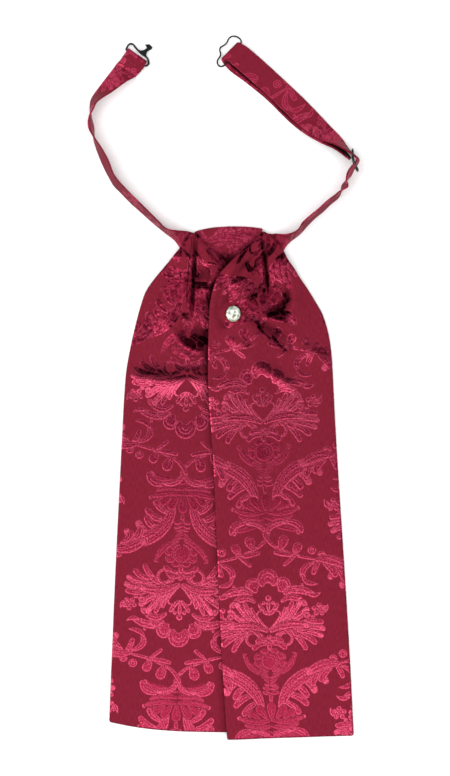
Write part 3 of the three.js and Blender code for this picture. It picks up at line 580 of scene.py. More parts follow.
MOTIFS = (
    # a scalloped crown over the heart
    (0.8, """
disc 18.6 28.8 8.6 0
disc 10.6 33.4 11.4 0
disc 0 37.8 15.0 0
hollow 0 26.6 13.6 0
hollow 0 32.0 5.6 0
hollow 4.8 30.2 4.8 0
hollow 7.4 26.0 4.6 0
sweep 12.0 27.0 21.0 33.0 33.5 24.8 5.8 2
leaf 28.0 26.6 33.0 23.0 38.4 27.6 3.0 0
lobe 10.0 21.6 18.0 28.0 25.6 19.4 4.8 1
stem 24.0 21.6 28.6 21.0 27.0 16.4 1.8 0
arc 0 37.0 4.8 10 170 0.9
arc 0 37.0 2.2 10 170 0.8
arc 10.4 32.8 3.4 -20 130 0.9
arc 18.4 28.4 2.2 -30 130 0.8
"""),
    # the heart with a lily in it, and the leaves over it
    (1.0, """
disc 0 23.8 4.4 0
disc 3.4 20.6 2.8 0
petal 0 13.6 0 17 0 20.2 3.0 0
lobe 0.4 12.2 3.6 13.6 6.2 19.0 3.2 0
lobe 6.0 3.0 19.0 7.0 27.6 15.0 4.6 2
lobe 5.0 3.2 15.0 8.4 22.8 20.2 4.2 2
lobe 4.0 3.4 12.4 9.0 17.0 20.0 3.6 1
lobe 3.0 3.4 9.6 8.4 12.0 16.6 2.6 0
stem 0 0.6 5.2 5.4 8.4 11.6 1.9 0
stem 8.4 11.6 8.4 15.2 5.0 14.4 1.3 0
"""),
    # broad leaves fanned out on each side, over a curl
    (0.8, """
disc 27.4 11.4 5.0 1.4
disc 31.8 9.6 3.2 0
lobe 16.0 -2.0 22.0 -4.0 25.8 -12.6 4.2 1
lobe 17.0 -1.0 26.0 -2.0 32.6 -8.6 4.4 1
lobe 17.0 0 28.0 1.4 37.2 -4.0 4.4 2
lobe 16.0 1.2 30.0 5.0 38.8 1.0 4.4 2
lobe 15.0 2.4 28.0 8.6 37.8 5.8 4.0 1
sweep 1.6 0 14.0 7.6 28.0 3.4 5.6 2
sweep 4.6 -3.0 13.0 1.8 21.0 -3.6 3.6 1
arc 11.8 -5.4 4.6 -250 70 2.0
"""),
    # a small flower at each side
    (0.8, """
disc 36.4 18.0 3.8 0
disc 32.8 15.8 3.6 0
disc 34.2 12.2 3.6 0
disc 38.4 12.2 3.6 0
disc 39.8 16.0 3.8 0
disc 36.4 14.8 3.0 1.2
leaf 39.0 12.6 42.4 13.5 42.6 19.4 2.4 0
"""),
    # a palmette under the heart
    (0.7, """
disc 0 -4.4 3.8 0
lobe 0.8 -9.4 6.4 -6.2 10.8 -11.6 4.6 1
lobe 0.6 -7.0 4.2 -3.4 8.8 -7.0 3.6 1
petal 0 -8 0 -10 0 -12.6 3.4 0
"""),
    # a rose in its cup
    (0.35, """
disc 3.8 -15.4 6.6 0
disc 8.0 -18.8 7.2 0
disc 8.8 -23.6 6.6 0
disc 4.4 -27.4 6.8 0
disc 0 -21.4 12.0 0
sweep 2.4 -31.0 13.6 -29.0 18.0 -17.6 4.6 2
stem 18.0 -18.6 20.4 -15.6 16.6 -15.6 1.7 0
stem 0 -33.4 4.0 -32.4 7.6 -29.6 1.5 0
stem 0 -35.6 4.0 -34.4 6.6 -31.8 1.4 0
stem 0 -37.4 2.6 -36.4 5.0 -34.2 1.4 0
arc 0 -21.4 4.4 -80 90 0.9
arc 0 -21.0 2.2 -40 150 0.8
arc 8.0 -19.0 2.0 -60 120 0.8
arc 8.4 -23.8 1.9 -100 60 0.8
arc 4.2 -27.6 1.9 -120 20 0.8
"""),
    # a turned collar and its stem
    (0.45, """
stem 0 -46 0 -49 0 -54.0 3.0 0
lobe 0 -39.0 2.0 -39.0 3.6 -38.4 2.2 0
lobe 0 -41.6 2.4 -41.6 4.8 -40.6 2.4 0
lobe 0 -44.6 2.4 -44.6 4.8 -44.0 2.8 0
"""),
    # wings of long leaves
    (0.75, """
disc 15.6 -60.0 3.4 1.0
disc 19.4 -61.6 3.4 1.0
disc 23.2 -61.8 3.2 1.0
lobe 10.0 -51.0 16.0 -53.0 19.6 -58.6 4.6 1
lobe 13.0 -46.0 20.0 -46.0 25.2 -52.4 5.0 1
lobe 18.0 -40.5 23.0 -41.0 25.6 -46.6 5.0 1
lobe 22.0 -36.0 29.0 -36.0 31.4 -43.2 5.6 2
lobe 28.0 -31.5 36.0 -31.0 39.6 -36.8 5.4 2
sweep 6.6 -55.6 12.0 -31.0 42.0 -27.6 9.8 2
"""),
    # a heaped basket between them
    (0.3, """
sweep 0 -72.6 11.0 -73.6 23.0 -78.0 5.0 2
sweep 0 -68.2 10.0 -70.6 18.4 -66.8 4.6 2
sweep 0 -64.0 11.0 -66.6 21.6 -62.6 4.2 2
petal 9.0 -62.2 12.0 -60.0 14.4 -58.4 4.8 1
petal 4.0 -62.0 6.4 -58.6 8.6 -56.0 5.6 1
petal 0 -62.0 0 -58.0 0 -54.4 6.4 1
"""),
    # crossing scrolls with buds and a crescent leaf
    (0.7, """
disc 32.4 57.6 6.2 1.6
disc 39.4 54.0 6.2 1.4
disc 24.6 33.0 2.4 0
disc 23.2 71.2 4.0 1.2
sweep 12.0 78.4 24.0 79.6 25.4 71.4 5.0 1
sweep -1.0 67.0 2.0 79.0 13.6 78.0 4.2 2
stem -1.4 70.0 1.6 62.0 12.0 57.4 3.0 0
stem 12.0 57.4 22.0 53.0 37.0 50.6 2.8 0
petal 9.6 59.6 11.2 62.4 12.2 65.2 7.4 1
petal 19.6 56.0 21.2 58.2 22.4 60.4 6.6 1
lobe 22.0 54.6 14.0 54.0 6.0 56.6 3.2 0
lobe 20.0 53.6 16.0 50.6 12.4 47.6 2.8 0
sweep 34.0 48.8 21.6 45.0 26.6 36.6 4.6 1
leaf 24.8 39.6 26.6 32.4 37.0 33.4 3.6 0
lobe 47.0 47.6 52.6 43.0 54.6 36.6 4.4 1
lobe 40.0 49.0 46.0 44.6 48.6 39.4 4.6 1
lobe 38.0 50.0 34.6 46.4 33.2 41.4 4.0 1
sweep 35.6 50.6 47.0 52.6 57.4 44.6 7.2 2
"""),
)


# Where on a half wave each form's outline starts and ends: a leaf comes to a point, a lobe
# ends round, a sweep ends half as wide as its middle, and a petal is widest at its end
OUTLINES = {
    "leaf": (0.0, 1.0),
    "lobe": (0.15, 0.68),
    "sweep": (0.1, 0.82),
    "petal": (0.12, 0.5),
    "stem": (0.5, 0.84),
}


def leaf_half_width(form, width, t):
    start, end = OUTLINES[form]
    return width / 2 * np.sin(math.pi * (start + (end - start) * t)) ** 0.8


class Chart:
    """The repeat on a grid: how deep each place lies in a leaf or in a vein, below 0 outside,
    and how bright its floats are."""

    def __init__(self):
        self.figure = np.full((CHART_ROWS, CHART_COLUMNS), -9.0)
        self.vein = np.full((CHART_ROWS, CHART_COLUMNS), -9.0)
        self.tone = np.full((CHART_ROWS, CHART_COLUMNS), 0.5)
        self.tone_now = 0.5

    def windows(self, low, high):
        """The grid's places in a box, at both columns of the half drop."""
        for drop_x, drop_y in ((0, 0), (REPEAT_WIDTH / 2, REPEAT_HEIGHT / 2)):
            at = [
                np.arange(math.floor((a + d) / CHART_STEP) - 4, math.ceil((b + d) / CHART_STEP) + 5)
                for a, b, d in ((low[0], high[0], drop_x), (low[1], high[1], drop_y))
            ]
            x, y = np.meshgrid(at[0] * CHART_STEP - drop_x, at[1] * CHART_STEP - drop_y)
            yield x, y, np.ix_(at[1] % CHART_ROWS, at[0] % CHART_COLUMNS)

    def lay(self, place, inside, vein):
        """A form laid on what is there, with a line of ground round it."""
        old = self.figure[place]
        self.figure[place] = np.maximum(inside, np.minimum(old, -inside - GROUND_LINE))
        self.vein[place] = np.where(inside > -GROUND_LINE / 2, vein, self.vein[place])
        self.tone[place] = np.where(inside > -GROUND_LINE / 2, self.tone_now, self.tone[place])

    def leaf(self, form, row, side):
        line = bend_points(*(row[k] for k in LEAF_COLUMNS.split()[:6]), 14) * (side, 1)
        reach = row["width"] / 2 + 1
        for x, y, place in self.windows(line.min(axis=0) - reach, line.max(axis=0) + reach):
            distance, t = nearest_on(line, x, y)
            half = leaf_half_width(form, row["width"], t)
            vein = np.full(x.shape, -9.0)
            if row["veins"] > 0:
                vein = np.minimum(VEIN_HALF - distance, (VEIN_END - t) * 6)
            if row["veins"] > 1:
                place_in = (distance + STREAK_SLANT * t) % STREAK_PITCH
                streaks = np.abs(place_in - STREAK_PITCH / 2)
                vein = np.maximum(STREAK_HALF - streaks, (t - TIP) * 6)
            self.lay(place, half - distance, vein)

    def disc(self, row, side, hollow):
        centre = np.array((row["x"] * side, row["y"]))
        reach = row["width"] / 2 + 1
        for x, y, place in self.windows(centre - reach, centre + reach):
            distance = np.hypot(x - centre[0], y - centre[1])
            inside = row["width"] / 2 - distance
            if hollow:
                self.figure[place] = np.minimum(self.figure[place], -inside)
            else:
                eye = distance - row["eye"] / 2 if row["eye"] else inside
                self.lay(place, np.minimum(inside, eye), np.full(x.shape, -9.0))

    def arc(self, row, side):
        """An arc drawn as a vein inside a form, or as a band of its own on the ground."""
        angle = np.radians(np.linspace(row["start"], row["end"], 25))
        centre = np.array((row["x"], row["y"]))
        line = centre + row["radius"] * np.stack([np.cos(angle), np.sin(angle)], axis=1)
        line = line * (side, 1)
        for x, y, place in self.windows(line.min(axis=0) - 2, line.max(axis=0) + 2):
            distance, _ = nearest_on(line, x, y)
            inside = row["width"] / 2 - distance
            if row["width"] > 1:
                self.lay(place, inside, np.full(x.shape, -9.0))
            else:
                self.vein[place] = np.maximum(self.vein[place], inside)

    def value(self, cells, across, up):
        """A chart's value at places in the cloth, in millimetres."""
        c = (across / CHART_STEP) % CHART_COLUMNS
        r = (up / CHART_STEP) % CHART_ROWS
        c0, r0 = np.floor(c).astype(int), np.floor(r).astype(int)
        s, t = c - c0, r - r0
        c1, r1 = (c0 + 1) % CHART_COLUMNS, (r0 + 1) % CHART_ROWS
        c0, r0 = c0 % CHART_COLUMNS, r0 % CHART_ROWS
        low = cells[r0, c0] * (1 - s) + cells[r0, c1] * s
        high = cells[r1, c0] * (1 - s) + cells[r1, c1] * s
        return low * (1 - t) + high * t

    def cloth(self, across, up):
        """What the damask keeps at its points: figure, veins, and its own threads' places."""
        return {
            "figure": np.clip(self.value(self.figure, across, up), -3, 3),
            "vein": np.clip(self.value(self.vein, across, up), -3, 3),
            "tone": self.value(self.tone, across, up),
            "weft": across,
            "warp": up,
        }


damask = Chart()
for tone, forms in MOTIFS:
    damask.tone_now = tone
    for side in (-1, 1):
        for form, *numbers in map(str.split, forms.strip().splitlines()):
            names = FORM_COLUMNS.get(form, LEAF_COLUMNS).split()
            row = dict(zip(names, map(float, numbers)))
            if form in OUTLINES:
                damask.leaf(form, row, side)
            elif form == "arc":
                damask.arc(row, side)
            else:
                damask.disc(row, side, form == "hollow")


def grain(x, y, foot, lean):
    """Places across and up a panel's cloth, from the foot of a heart, its warp leaning."""
    length = math.hypot(1, lean)
    across = ((x - foot[0]) - lean * (y - foot[1])) / length
    up = (lean * (x - foot[0]) + (y - foot[1])) / length
    return across, up


# Each blade's cloth: the foot of one heart, how far its warp leans from Y, and which way up it
# is cut. Its pleat's crease is at an x, and the cloth on the crease's knot side, to the right
# (1) or the left (-1), is drawn aside and up, more with each millimetre from the crease.
LEFT_CUT, RIGHT_CUT = table("foot_x foot_y lean way_up crease knot_side from drawn more", """
-31.0 -140.8 0.032 -1 -23 1 30 12 0.5
32.9 -174.7 -0.029 1 31 -1 38 14 0.55
""")
CREASE_LEAN, CREASE_FOOT = 0.04, 44.0  # the left crease leans to the right, about this height
GATHER_TOP = 108.0
GATHER_SQUEEZE = 0.3  # how much closer the pleats draw the figure at the top
PLEAT_TAKE = 9.0  # cloth hidden in each blade's pleat at the knot


def blade_cloth(x, y, cut, crease_lean):
    across, up = grain(x, y, (cut["foot_x"], cut["foot_y"]), cut["lean"])
    beside = (x - cut["crease"]) * cut["knot_side"]
    inner = smooth_step(-0.6, 0.6, beside - crease_lean * (y - CREASE_FOOT))
    gathered = smooth_step(cut["from"], GATHER_TOP, y)
    taken = gathered * inner
    across = across * (1 + GATHER_SQUEEZE * gathered) + cut["knot_side"] * taken * PLEAT_TAKE
    up = up + taken * (cut["drawn"] + cut["more"] * beside)
    return damask.cloth(cut["way_up"] * across, cut["way_up"] * up)


def left_cloth(x, y):
    return blade_cloth(x, y, LEFT_CUT, CREASE_LEAN)


def right_cloth(x, y):
    return blade_cloth(x, y, RIGHT_CUT, 0)


blade_left = make_blade("silk_blade_left", LEFT_BLADE, left_hem_lift, left_under, left_cloth)
blade_right = make_blade(
    "silk_blade_right", RIGHT_BLADE, right_hem_lift, right_under, right_cloth
)

# The yoke: one piece of damask folded over the neckband, its front draped between the blades
YOKE_SIDES = table("y left right", """
117 -15 23
113 -19 27
107 -19.5 25.5
102 -15.5 20.5
97 -10.5 15.5
90 -3.5 9.5
84 0 6
""")
YOKE_FRONT_END = 84.0
YOKE_BACK_END = 97.0
YOKE_ARC = 1.6
YOKE_LEFT, YOKE_WIDTH = -19.4, 47.4
YOKE_TOP, YOKE_SAG = 116.7, 3.2  # its upper edge in its middle, and how much lower its ends lie
YOKE_MIDDLE, YOKE_HALF = 8.0, 27.0
BACK_SHARE, ARC_SHARE = 0.24, 0.44  # of its length, where its back and its fold end
YOKE_CELLS = (64, 96)  # across and along
YOKE_FOOT, YOKE_LEAN = (-11.0, 106.0), 0.1


def yoke_surface(across, along):
    """Points in the middle of the yoke's wall, and the way that its face looks."""
    rough = YOKE_LEFT + YOKE_WIDTH * across
    top = YOKE_TOP - YOKE_SAG * np.minimum(1, ((rough - YOKE_MIDDLE) / YOKE_HALF) ** 2) ** 1.2
    crest = top - YOKE_ARC - YOKE_WALL / 2
    turn = math.pi * (np.clip((along - BACK_SHARE) / (ARC_SHARE - BACK_SHARE), 0, 1) - 0.5)
    part = np.clip((along - ARC_SHARE) / (1 - ARC_SHARE), 0, 1)
    back = np.clip(along / BACK_SHARE, 0, 1)
    y = YOKE_BACK_END + (crest - YOKE_BACK_END) * back
    y += (YOKE_FRONT_END - crest) * part + YOKE_ARC * np.cos(turn)
    z = YOKE_WALL / 2 + YOKE_ARC + YOKE_ARC * np.sin(turn)
    left = edge_at(YOKE_SIDES, "left", y)
    right = edge_at(YOKE_SIDES, "right", y)
    eased = smooth_step(0, 0.2, part)
    x = rough * (1 - eased) + (left + (right - left) * across) * eased
    z = z + eased * fold_height(YOKE_FOLDS, x, y)
    ny, nz = np.cos(turn), np.sin(turn)
    return x, y, z, ny, nz


def make_yoke(chart):
    across, along = np.meshgrid(*(np.linspace(0, 1, cells + 1) for cells in YOKE_CELLS))
    x, y, z, ny, nz = yoke_surface(across, along)
    half = YOKE_WALL / 2
    face = np.stack([x, y + ny * half, z + nz * half], axis=2)
    back = np.stack([x, y - ny * half, z - nz * half], axis=2)
    points = np.vstack([face.reshape(-1, 3), back.reshape(-1, 3)])
    rows, columns = x.shape
    edge = edge_order(rows, columns)
    count = rows * columns
    faces = [grid_quads(rows, columns, 0), grid_quads(rows, columns, count)[:, ::-1]]
    faces.append(joined(edge, edge + count))
    values = {k: np.tile(v.reshape(-1), 2) for k, v in chart(x, y).items()}
    return new_piece("silk_yoke", points, faces, values)


YOKE_PAINTED_SHADE = 3.6  # painted shade darkens the yoke's lower end, from the first height to the second
YOKE_SHADE_TOP, YOKE_SHADE_FULL = 101.0, 91.0
YOKE_PRESSED, YOKE_GATHER = 0.8, 0.6


def yoke_cloth(x, y):
    values = damask.cloth(*grain(x, y, YOKE_FOOT, YOKE_LEAN))
    # painted shade on the yoke's lower end, where it goes in between the blades
    values["hollow"] = YOKE_PAINTED_SHADE * smooth_step(YOKE_SHADE_TOP, YOKE_SHADE_FULL, y)
    values["pressed"] = np.full(x.shape, YOKE_PRESSED)
    values["gather"] = np.full(x.shape, YOKE_GATHER)
    return values


yoke = make_yoke(yoke_cloth)

# The neckband: a strip whose inner edge (ix, iy) stands up where its edges are drawn closer
# in plan than its width, and whose outer edge (ox, oy) runs at the height called low
BAND_COLUMNS = "ix iy ox oy low"
BAND_LEFT = table(BAND_COLUMNS, """
2.7 112.6 2.7 95.9 1.55
-8.3 112.5 -8.3 95.8 1.55
-18.5 112.0 -20 95.2 1.55
-24.5 113.0 -28 96.6 0.7
-33.5 113.2 -34.5 106.0 0
-41.0 114.6 -42.6 112.8 0
-47.0 120.2 -50.0 118.8 0
-55.9 129.1 -58.9 126.7 0
-62.9 136.0 -66.6 133.6 0
-69.8 142.9 -73.7 140.9 0
-75.2 148.8 -78.6 145.9 0
-78.8 153.8 -82.4 152.3 0
-82.6 163.7 -87.0 161.6 0
-87.0 171.6 -90.5 170.3 0
-92.3 179.5 -93.1 179.1 0
-96.7 187.9 -93.5 188.6 0
-96.0 195.3 -95.3 195.3 0
-93.3 200.2 -95.9 203.2 0
-90.6 205.4 -95.0 208.3 0
-79.6 213.0 -87.7 219.2 0
-69.2 220.6 -79.0 230.6 0.4
-62.3 224.8 -76.2 234.6 1.7
-57.3 230.2 -71.2 240.0 3.0
""")
BAND_RIGHT = table(BAND_COLUMNS, """
3.3 112.6 3.3 95.9 1.55
14.0 112.5 14.0 95.8 1.55
29.0 112.2 30.0 95.5 1.55
36.5 111.6 39.5 95.0 0.7
46.0 110.7 46.3 104.2 0
53.4 113.7 55.3 111.7 0
56.8 119.0 60.1 117.0 0
61.8 123.6 65.5 122.5 0
67.5 128.2 71.3 127.2 0
73.5 133.7 77.3 133.0 0
79.9 138.6 82.4 137.2 0
83.7 141.6 84.3 140.9 0
89.1 144.9 85.4 146.2 0
88.0 150.3 88.7 150.1 0
89.1 155.4 92.0 153.6 0.7
91.6 159.0 94.0 158.1 1.8
95.3 164.1 97.5 164.5 1.8
90.0 169.2 91.2 170.6 1.8
""")
# The doubled stretch, along it from the loop and across it from its middle. The outer layer
# comes from the slider, and the inner one goes back and is sewn there.
DOUBLED = np.array((4.43, 244.33))
DOUBLED_WAY = np.array((0.713, -0.701))
OUTER_LAYER = table("along inner outer low", """
102.2 3.1 10.7 0.9
90.7 -2.5 11.2 1.1
78 -4.4 11.7 1.6
61.2 -4.7 12.1 1.6
39.6 -5.2 11.7 1.6
20 -6.0 10.9 1.8
8.5 -7.0 9.9 3.0
2.6 -8.2 8.6 3.0
""")
INNER_LAYER = table("along inner outer low", """
2.6 -10.4 6.4 0
10 -11.2 5.7 0
24.8 -9.2 7.6 0
44 -7.4 9.4 0
64 -7.4 9.4 0
80 -6.2 9.2 0
94 -2.9 8.5 0
104.6 0.9 7.3 0
117.6 2.8 5.2 1.5
""")
BAND_STEP = 0.8  # between a band's sections


def from_doubled(rows):
    across = np.array((-DOUBLED_WAY[1], DOUBLED_WAY[0]))
    made = []
    for row in rows:
        base = DOUBLED + DOUBLED_WAY * row["along"]
        inner, outer = base + across * row["inner"], base + across * row["outer"]
        made.append({
            "ix": inner[0], "iy": inner[1], "ox": outer[0], "oy": outer[1], "low": row["low"]
        })
    return made


def band_sections(rows):
    """Each section of a band: its middle, the way to its inner edge, and its floor."""
    lines = [
        np.stack([column(rows, x), column(rows, y), column(rows, "low")], axis=1)
        for x, y in (("ix", "iy"), ("ox", "oy"))
    ]
    middles = (lines[0][:, :2] + lines[1][:, :2]) / 2
    lengths = np.linalg.norm(np.diff(middles, axis=0), axis=1)
    counts = np.maximum(1, lengths / BAND_STEP + 0.5).astype(int)
    places = [k + np.arange(count) / count for k, count in enumerate(counts)]
    place = np.append(np.concatenate(places), len(rows) - 1)
    inner, outer = smooth_line(lines[0], place), smooth_line(lines[1], place)
    plan = inner[:, :2] - outer[:, :2]
    length = np.linalg.norm(plan, axis=1)
    drawn = np.minimum(BAND_WIDTH, length)
    stand = np.sqrt(BAND_WIDTH**2 - drawn**2)
    middle = (inner + outer) / 2
    middle[:, 2] += stand / 2
    across = np.column_stack([plan * (drawn / length)[:, None], stand])
    across /= np.linalg.norm(across, axis=1)[:, None]
    return {"middle": middle, "across": across, "floor": np.maximum(0, inner[:, 2])}


TURN_STEPS = 14


def band_turn(centre, outward, start, end, radius):
    """A half turn of the band round a wire, from one layer to the other."""
    part = np.linspace(0, 1, TURN_STEPS + 1)[:, None]
    angle = math.pi / 2 - math.pi * part
    middle = start["middle"] * (1 - part) + end["middle"] * part
    middle[:, 2:] = centre[2] + radius * np.sin(angle)
    middle[:, :2] += outward[:2] * radius * np.cos(angle)
    across = start["across"] * (1 - part) + end["across"] * part
    across /= np.linalg.norm(across, axis=1)[:, None]
    return {"middle": middle, "across": across, "floor": np.full(len(part), np.nan)}


def end_section(sections, index):
    return {k: sections[k][index] for k in ("middle", "across")}


def follow_on(*parts):
    return {k: np.concatenate([part[k] for part in parts]) for k in ("middle", "across", "floor")}


BAND_FACE_POINTS = 25
BAND_EDGE_POINTS = 7  # round a folded edge, with one of each face


def band_outline():
    """Half the band's section and back: across it, out from its middle, and round its girth."""
    half, thick = BAND_WIDTH / 2, BAND_WALL / 2
    flat = np.linspace(half - thick, thick - half, BAND_FACE_POINTS)
    turn = np.radians(np.linspace(90, -90, BAND_EDGE_POINTS)[1:-1])
    face = np.stack([flat, np.full(flat.shape, thick)], axis=1)
    low = np.stack([thick - half - thick * np.cos(turn), thick * np.sin(turn)], axis=1)
    loop = np.vstack([face, low, -face, -low])
    steps = np.linalg.norm(np.diff(loop, axis=0), axis=1)
    return loop, np.concatenate([[0], np.cumsum(steps)])


def band_solid(name, sections, chart):
    outline, girth = band_outline()
    middle, across = sections["middle"], sections["across"]
    way = np.gradient(middle, axis=0)
    way /= np.linalg.norm(way, axis=1)[:, None]
    out = np.cross(way, across)
    out /= np.linalg.norm(out, axis=1)[:, None]
    rings = (
        middle[:, None, :]
        + across[:, None, :] * outline[None, :, :1]
        + out[:, None, :] * outline[None, :, 1:]
    )
    lift = sections["floor"] - rings[:, :, 2].min(axis=1)
    rings[:, :, 2] += np.where(np.isnan(lift), 0, lift)[:, None]
    order = np.arange(rings[:, :, 0].size).reshape(rings.shape[:2])
    sides = np.vstack([joined(a, b) for a, b in zip(order, order[1:])])
    caps = np.vstack([
        fan(order[0][0], order[0][1:])[:, [0, 2, 1]], fan(order[-1][0], order[-1][1:])
    ])
    along = np.concatenate([[0], np.cumsum(np.linalg.norm(np.diff(middle, axis=0), axis=1))])
    run, round_it = np.meshgrid(along, girth, indexing="ij")
    values = {key: v.reshape(-1) for key, v in chart(run, round_it).items()}
    return new_piece(name, rings.reshape(-1, 3), [sides, caps], values)


ARC_RADIUS = (TUNNEL + BAND_WALL) / 2
TUNNEL_MIDDLE = BAND_WALL + TUNNEL / 2
HOOK_END = np.array((-61.6, 240.2))
HOOK_ACROSS = np.array((0.818, -0.575, 0)) / math.hypot(0.818, 0.575)
HOOK_OUT = np.array((-HOOK_ACROSS[1], HOOK_ACROSS[0], 0))
HOOK_TAIL = 9.0  # how far the folded end runs back under the band


def left_band(chart):
    sections = band_sections(BAND_LEFT)
    centre = np.array((*HOOK_END, TUNNEL_MIDDLE)) - HOOK_OUT * (ARC_RADIUS + BAND_WALL / 2)
    flat = {"middle": centre, "across": HOOK_ACROSS}
    turn = band_turn(centre, HOOK_OUT, flat, flat, ARC_RADIUS)
    under = turn["middle"][-1]
    back = np.arange(BAND_STEP, HOOK_TAIL, BAND_STEP)[:, None]
    tail = {
        "middle": under - HOOK_OUT * back,
        "across": np.repeat(HOOK_ACROSS[None], len(back), axis=0),
        "floor": np.full(len(back), np.nan),
    }
    return band_solid("silk_neckband_left", follow_on(sections, turn, tail), chart)


def right_band(chart):
    sections = band_sections(BAND_RIGHT + from_doubled(OUTER_LAYER))
    back = band_sections(from_doubled(INNER_LAYER))
    start, end = end_section(sections, -1), end_section(back, 0)
    centre = np.array((start["middle"][0], start["middle"][1], TUNNEL_MIDDLE))
    outward = np.array((-DOUBLED_WAY[0], -DOUBLED_WAY[1], 0))
    turn = band_turn(centre, outward, start, end, ARC_RADIUS)
    inside = {k: v[1:-1] for k, v in turn.items()}
    return band_solid("silk_neckband_right", follow_on(sections, inside, back), chart)


# Where each band is cut from the damask, and where the right band's inner layer starts
LEFT_BAND_CUT = (7.3, -181.0)
RIGHT_BAND_CUT = (22.0, -148.0)
INNER_FROM = 253.0
INNER_PAINTED_SHADOW = 4.5
INNER_WAVE, INNER_WAVE_EVERY = 0.4, 5.0  # the painted shadow's edge wanders a little along the band
# Round the band's girth, where the outer layer's edge casts a painted shadow on the inner one, from
# the loop on
INNER_SHADE = table("along girth", """
0 30.6
30 31.3
60 31.5
110 31.8
""")


def band_cloth(run, round_it, cut):
    values = damask.cloth(round_it + cut[0], run + cut[1])
    return values | {"pressed": np.ones(run.shape)}


def left_band_cloth(run, round_it):
    return band_cloth(run, round_it, LEFT_BAND_CUT)


def right_band_cloth(run, round_it):
    values = band_cloth(run, round_it, RIGHT_BAND_CUT)
    along, girth = column(INNER_SHADE, "along"), column(INNER_SHADE, "girth")
    past_edge = round_it - np.interp(run - INNER_FROM, along, girth)
    uneven = INNER_WAVE * np.sin(run / INNER_WAVE_EVERY)
    shaded = smooth_step(0.5, -0.5, past_edge + uneven)
    # painted shadow of the outer layer's edge on the inner layer
    values["hollow"] = np.where(run > INNER_FROM, INNER_PAINTED_SHADOW * shaded, 0)
    return values


band_left = left_band(left_band_cloth)
band_right = right_band(right_band_cloth)

# The hook and the loop: wire frames in the folded ends, in places along and out from the fold
HOOK_WIRE = 1.4
LOOP_WIRE = 1.15
SLIDER_WIRE = 1.0
SLIDER_BAR = 0.7
HOOK_FRAME = table("along out", """
-7.4 -2.5
-3 -2.9
1.5 -3.3
6 -3.7
8.8 -3.6
9.9 -2.5
10.1 -1.1
9.2 0.2
7.7 1.5
5.6 2.2
2.4 2.3
-0.8 2.5
-2.9 2.9
-5.0 3.5
-6.9 4.0
-8.6 3.5
-9.5 2.1
-9.4 0.2
-9.0 -1.5
""")
HOOK_PLATE = table("along out", """
-4.8 3.9
-3.0 3.3
-1.0 3.3
0.8 4.3
2.0 6.0
2.5 7.5
1.6 8.3
0.1 8.9
1.1 9.7
2.0 10.7
3.6 10.8
5.4 10.3
5.8 9.2
5.2 7.7
4.5 6.2
4.4 4.8
4.9 3.5
6.1 2.7
7.4 2.1
6.2 1.7
4.0 1.5
1.8 1.4
0.1 1.6
-2.3 2.2
-4.6 2.9
""")
HOOK_PLATE_WALL = 1.4
HOOK_PLATE_ROUND = 0.28
LOOP_FRAME = table("along out", """
7.2 -3.05
2.5 -3.7
-2.5 -4.35
-7.5 -5.0
-11.3 -5.5
-13.4 -4.4
-14.0 -2.0
-12.4 0.2
-9.9 0.9
-7.7 1.5
-6.6 2.8
-5.5 4.6
-3.6 5.4
-0.9 4.7
1.8 4.6
4.6 5.6
7.3 5.3
9.3 3.5
10.3 1.0
10.2 -1.2
9.2 -2.6
""")
SLIDER_BARS = table("x y", """
92.6 171.2
93.2 163.4
96.4 156.4
""")
SLIDER_LOW = 0.9
SLIDER_HIGH = 19.4
SLIDER_CORNER = 0.8


def closed_line(points, count):
    """Points on a smooth closed line through points."""
    wrapped = np.vstack([points[-2:], points, points[:3]])
    place = 2 + len(points) * np.arange(count) / count
    return smooth_line(wrapped, place)


def seated(rows, seat, turn):
    """A frame's places set where the frame lies, its fold turned by an angle."""
    along, out = column(rows, "along"), column(rows, "out")
    x = seat[0] + along * math.cos(turn) - out * math.sin(turn)
    y = seat[1] + along * math.sin(turn) + out * math.cos(turn)
    return np.stack([x, y, np.full(len(rows), seat[2])], axis=1)


WIRE_SIDES = 12
ACROSS_WIRES = (0.3, 0.2, 0.9)  # a way that no wire starts in
HOOK_POINTS, PLATE_POINTS, LOOP_POINTS, SLIDER_POINTS = 160, 120, 200, 220


def wire_rings(line, diameter, closed):
    """Rings of a round wire along a line, carried on without a twist."""
    after = np.roll(line, -1, axis=0) if closed else np.vstack([line[1:], line[-1:]])
    before = np.roll(line, 1, axis=0) if closed else np.vstack([line[:1], line[:-1]])
    way = after - before
    way /= np.linalg.norm(way, axis=1)[:, None]
    side = np.cross(way[0], ACROSS_WIRES)
    rings = []
    angles = 2 * math.pi * np.arange(WIRE_SIDES) / WIRE_SIDES
    for point, forward in zip(line, way):
        side = side - forward * np.dot(side, forward)
        side = side / np.linalg.norm(side)
        lift = np.cross(side, forward)
        turned = np.outer(np.cos(angles), side) + np.outer(np.sin(angles), lift)
        rings.append(point + turned * diameter / 2)
    return np.array(rings)


def wire_piece(name, wires):
    """One piece of several wires: each a line, its diameter, and whether it closes."""
    points, quads, threes, total = [], [], [], 0
    for line, diameter, closed in wires:
        rings = wire_rings(line, diameter, closed)
        if closed:
            apart = [
                np.linalg.norm(rings[-1] - np.roll(rings[0], s, axis=0)) for s in range(WIRE_SIDES)
            ]
            made, faces, caps = tube(rings, shift=apart.index(min(apart)))
        else:
            made, faces, caps = tube(rings, ends=line[[0, -1]])
        points.append(made)
        quads.append(faces + total)
        threes.append(caps + total)
        total += len(made)
    return new_piece(name, np.vstack(points), [np.vstack(quads), np.vstack(threes)])


